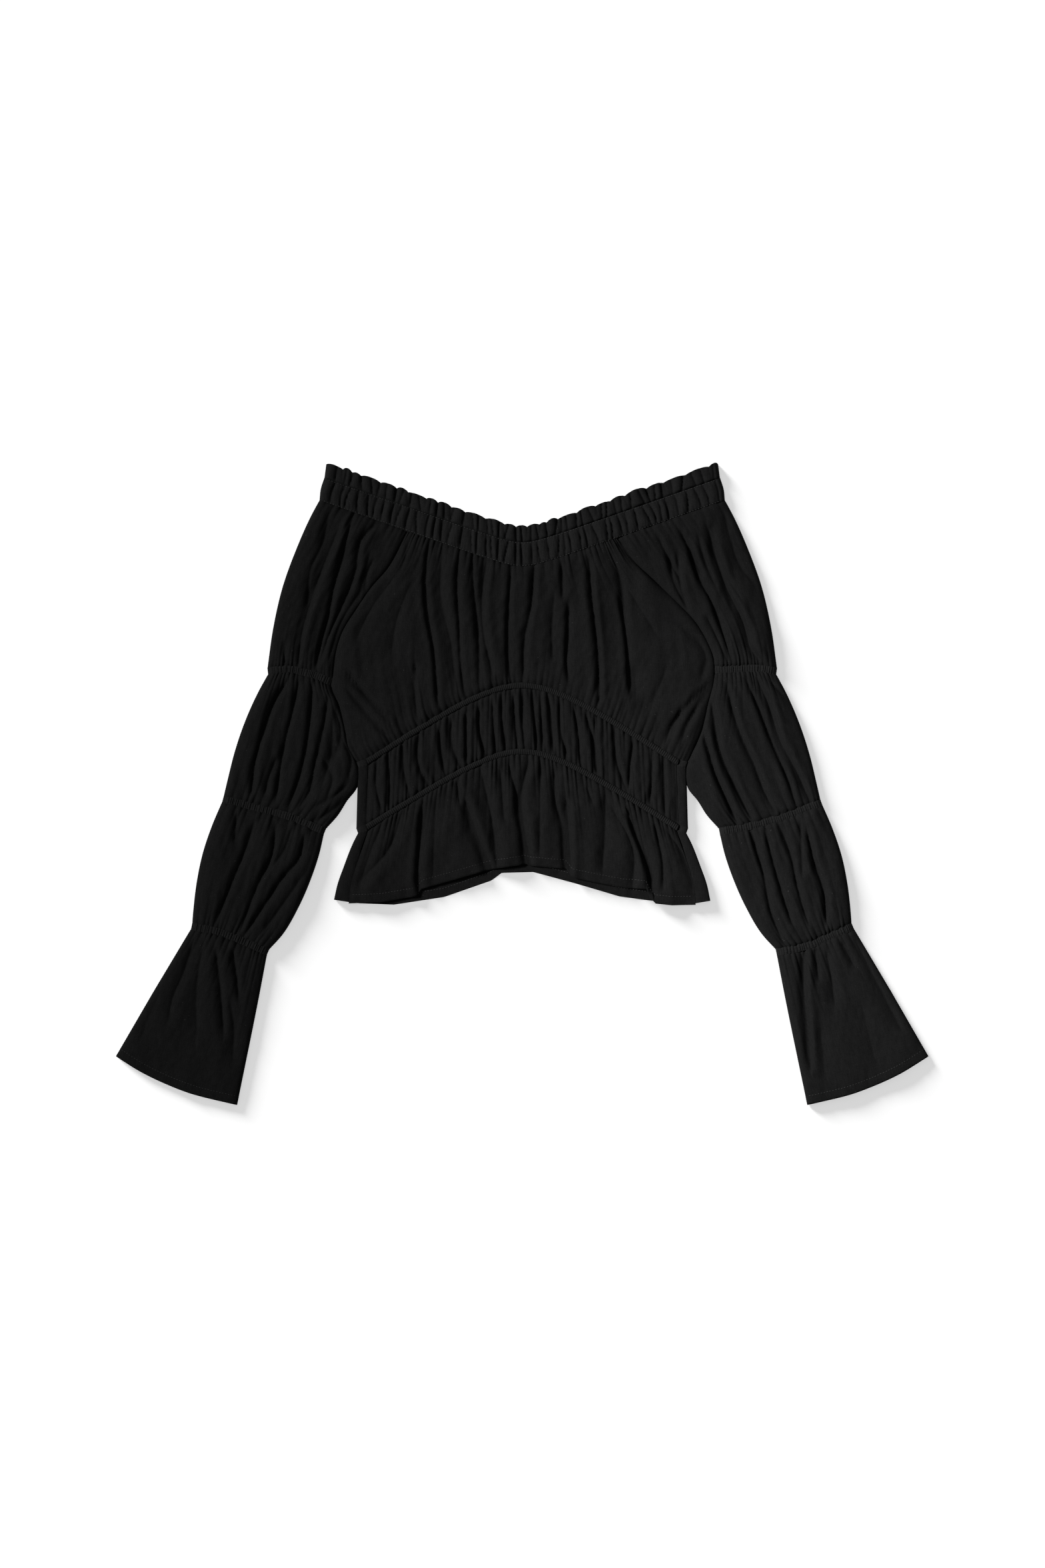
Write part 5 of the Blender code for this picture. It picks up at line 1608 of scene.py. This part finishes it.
def add_lamp(name, kind, energy, place, towards, receivers):
    """A lamp for some receivers alone, whose light comes from a direction."""
    light = bpy.data.lights.new(name, kind)
    light.energy = energy
    lamp = bpy.data.objects.new(name, light)
    lamp.location = place
    lamp.rotation_euler = towards.to_track_quat("Z", "Y").to_euler()
    lamp.light_linking.receiver_collection = receivers
    bpy.context.collection.objects.link(lamp)
    return light


class TOP_OT_stage(bpy.types.Operator):
    """Make the white floor, the lights and the camera above"""

    bl_idname = "top.stage"
    bl_label = "Stage"

    def execute(self, context):
        stage = context.scene.top_stage
        floor = bpy.data.meshes.new("floor")
        corners = [(FLOOR_REACH * x, FLOOR_REACH * y, 0.0) for x, y in ((-1, -1), (1, -1), (1, 1), (-1, 1))]
        floor.from_pydata(corners, [], [(0, 1, 2, 3)])
        ground = bpy.data.objects.new("floor", floor)
        context.collection.objects.link(ground)
        paper, shader, _ = new_finish("white_paper")
        sockets = {
            "Base Color": (*stage.floor, 1.0),
            "Emission Color": WHITE,
            "Emission Strength": stage.floor_glow,
            "Roughness": 0.95,
            "Specular IOR Level": 0.0,
        }
        feed(shader, sockets)
        floor.materials.append(paper)

        # The low light falls on the floor alone, and the others on all but the floor
        floor_alone = bpy.data.collections.new("floor_alone")
        all_but_floor = bpy.data.collections.new("all_but_floor")
        for receivers in (floor_alone, all_but_floor):
            receivers.objects.link(ground)
        all_but_floor.collection_objects[0].light_linking.link_state = "EXCLUDE"
        towards = sun_direction(stage.key_turn, stage.key_height)
        key = add_lamp("key", "SUN", stage.key_strength, KEY_PLACE, towards, all_but_floor)
        key.angle = stage.key_softness
        towards = Vector(SPOT_PLACE) - Vector(SPOT_AIM)
        spot = add_lamp("spot", "SPOT", stage.spot_power, SPOT_PLACE, towards, all_but_floor)
        spot.spot_size = SPOT_CONE
        spot.spot_blend = 1.0
        spot.shadow_soft_size = SPOT_RADIUS
        towards = sun_direction(stage.low_turn, stage.low_height)
        low = add_lamp("low", "SUN", stage.low_strength, LOW_PLACE, towards, floor_alone)
        low.angle = stage.low_softness

        world = bpy.data.worlds.new("even_light")
        world.use_nodes = True
        feed(world.node_tree.nodes["Background"], {"Color": WHITE, "Strength": stage.sky})
        context.scene.world = world

        eye = bpy.data.cameras.new("camera")
        eye.sensor_fit = "VERTICAL"
        eye.sensor_height = SENSOR_HEIGHT
        eye.lens = SENSOR_HEIGHT * stage.camera_height / stage.frame_height
        eye.clip_end = FARTHEST_SEEN
        camera = bpy.data.objects.new("camera", eye)
        camera.location = (*CAMERA_PLACE, stage.camera_height)
        context.collection.objects.link(camera)
        context.scene.camera = camera
        context.scene.view_settings.view_transform = "Standard"
        return {"FINISHED"}


class TOP_PT_panel(bpy.types.Panel):
    """The top's pieces and settings"""

    bl_label = "Gathered top"
    bl_idname = "TOP_PT_panel"
    bl_space_type = "VIEW_3D"
    bl_region_type = "UI"
    bl_category = "Gathered top"

    def draw(self, context):
        for step in STEPS:
            self.layout.operator(step.bl_idname)
        for group in (context.scene.top_cloth, context.scene.top_look, context.scene.top_stage):
            for name in group.__annotations__:
                self.layout.prop(group, name)


STEPS = (TOP_OT_stage, TOP_OT_back, TOP_OT_front, TOP_OT_elastics, TOP_OT_neck, TOP_OT_sleeves)
CLASSES = (TopCloth, TopLook, TopStage, *STEPS, TOP_PT_panel)


def register():
    for group in CLASSES:
        bpy.utils.register_class(group)
    bpy.types.Scene.top_cloth = PointerProperty(type=TopCloth)
    bpy.types.Scene.top_look = PointerProperty(type=TopLook)
    bpy.types.Scene.top_stage = PointerProperty(type=TopStage)


def unregister():
    del bpy.types.Scene.top_cloth
    del bpy.types.Scene.top_look
    del bpy.types.Scene.top_stage
    for group in reversed(CLASSES):
        bpy.utils.unregister_class(group)


def main():
    register()
    bpy.ops.top.stage()
    bpy.ops.top.back()
    bpy.ops.top.front()
    bpy.ops.top.elastics()
    bpy.ops.top.neck()
    bpy.ops.top.sleeves()


if __name__ == "__main__":
    main()
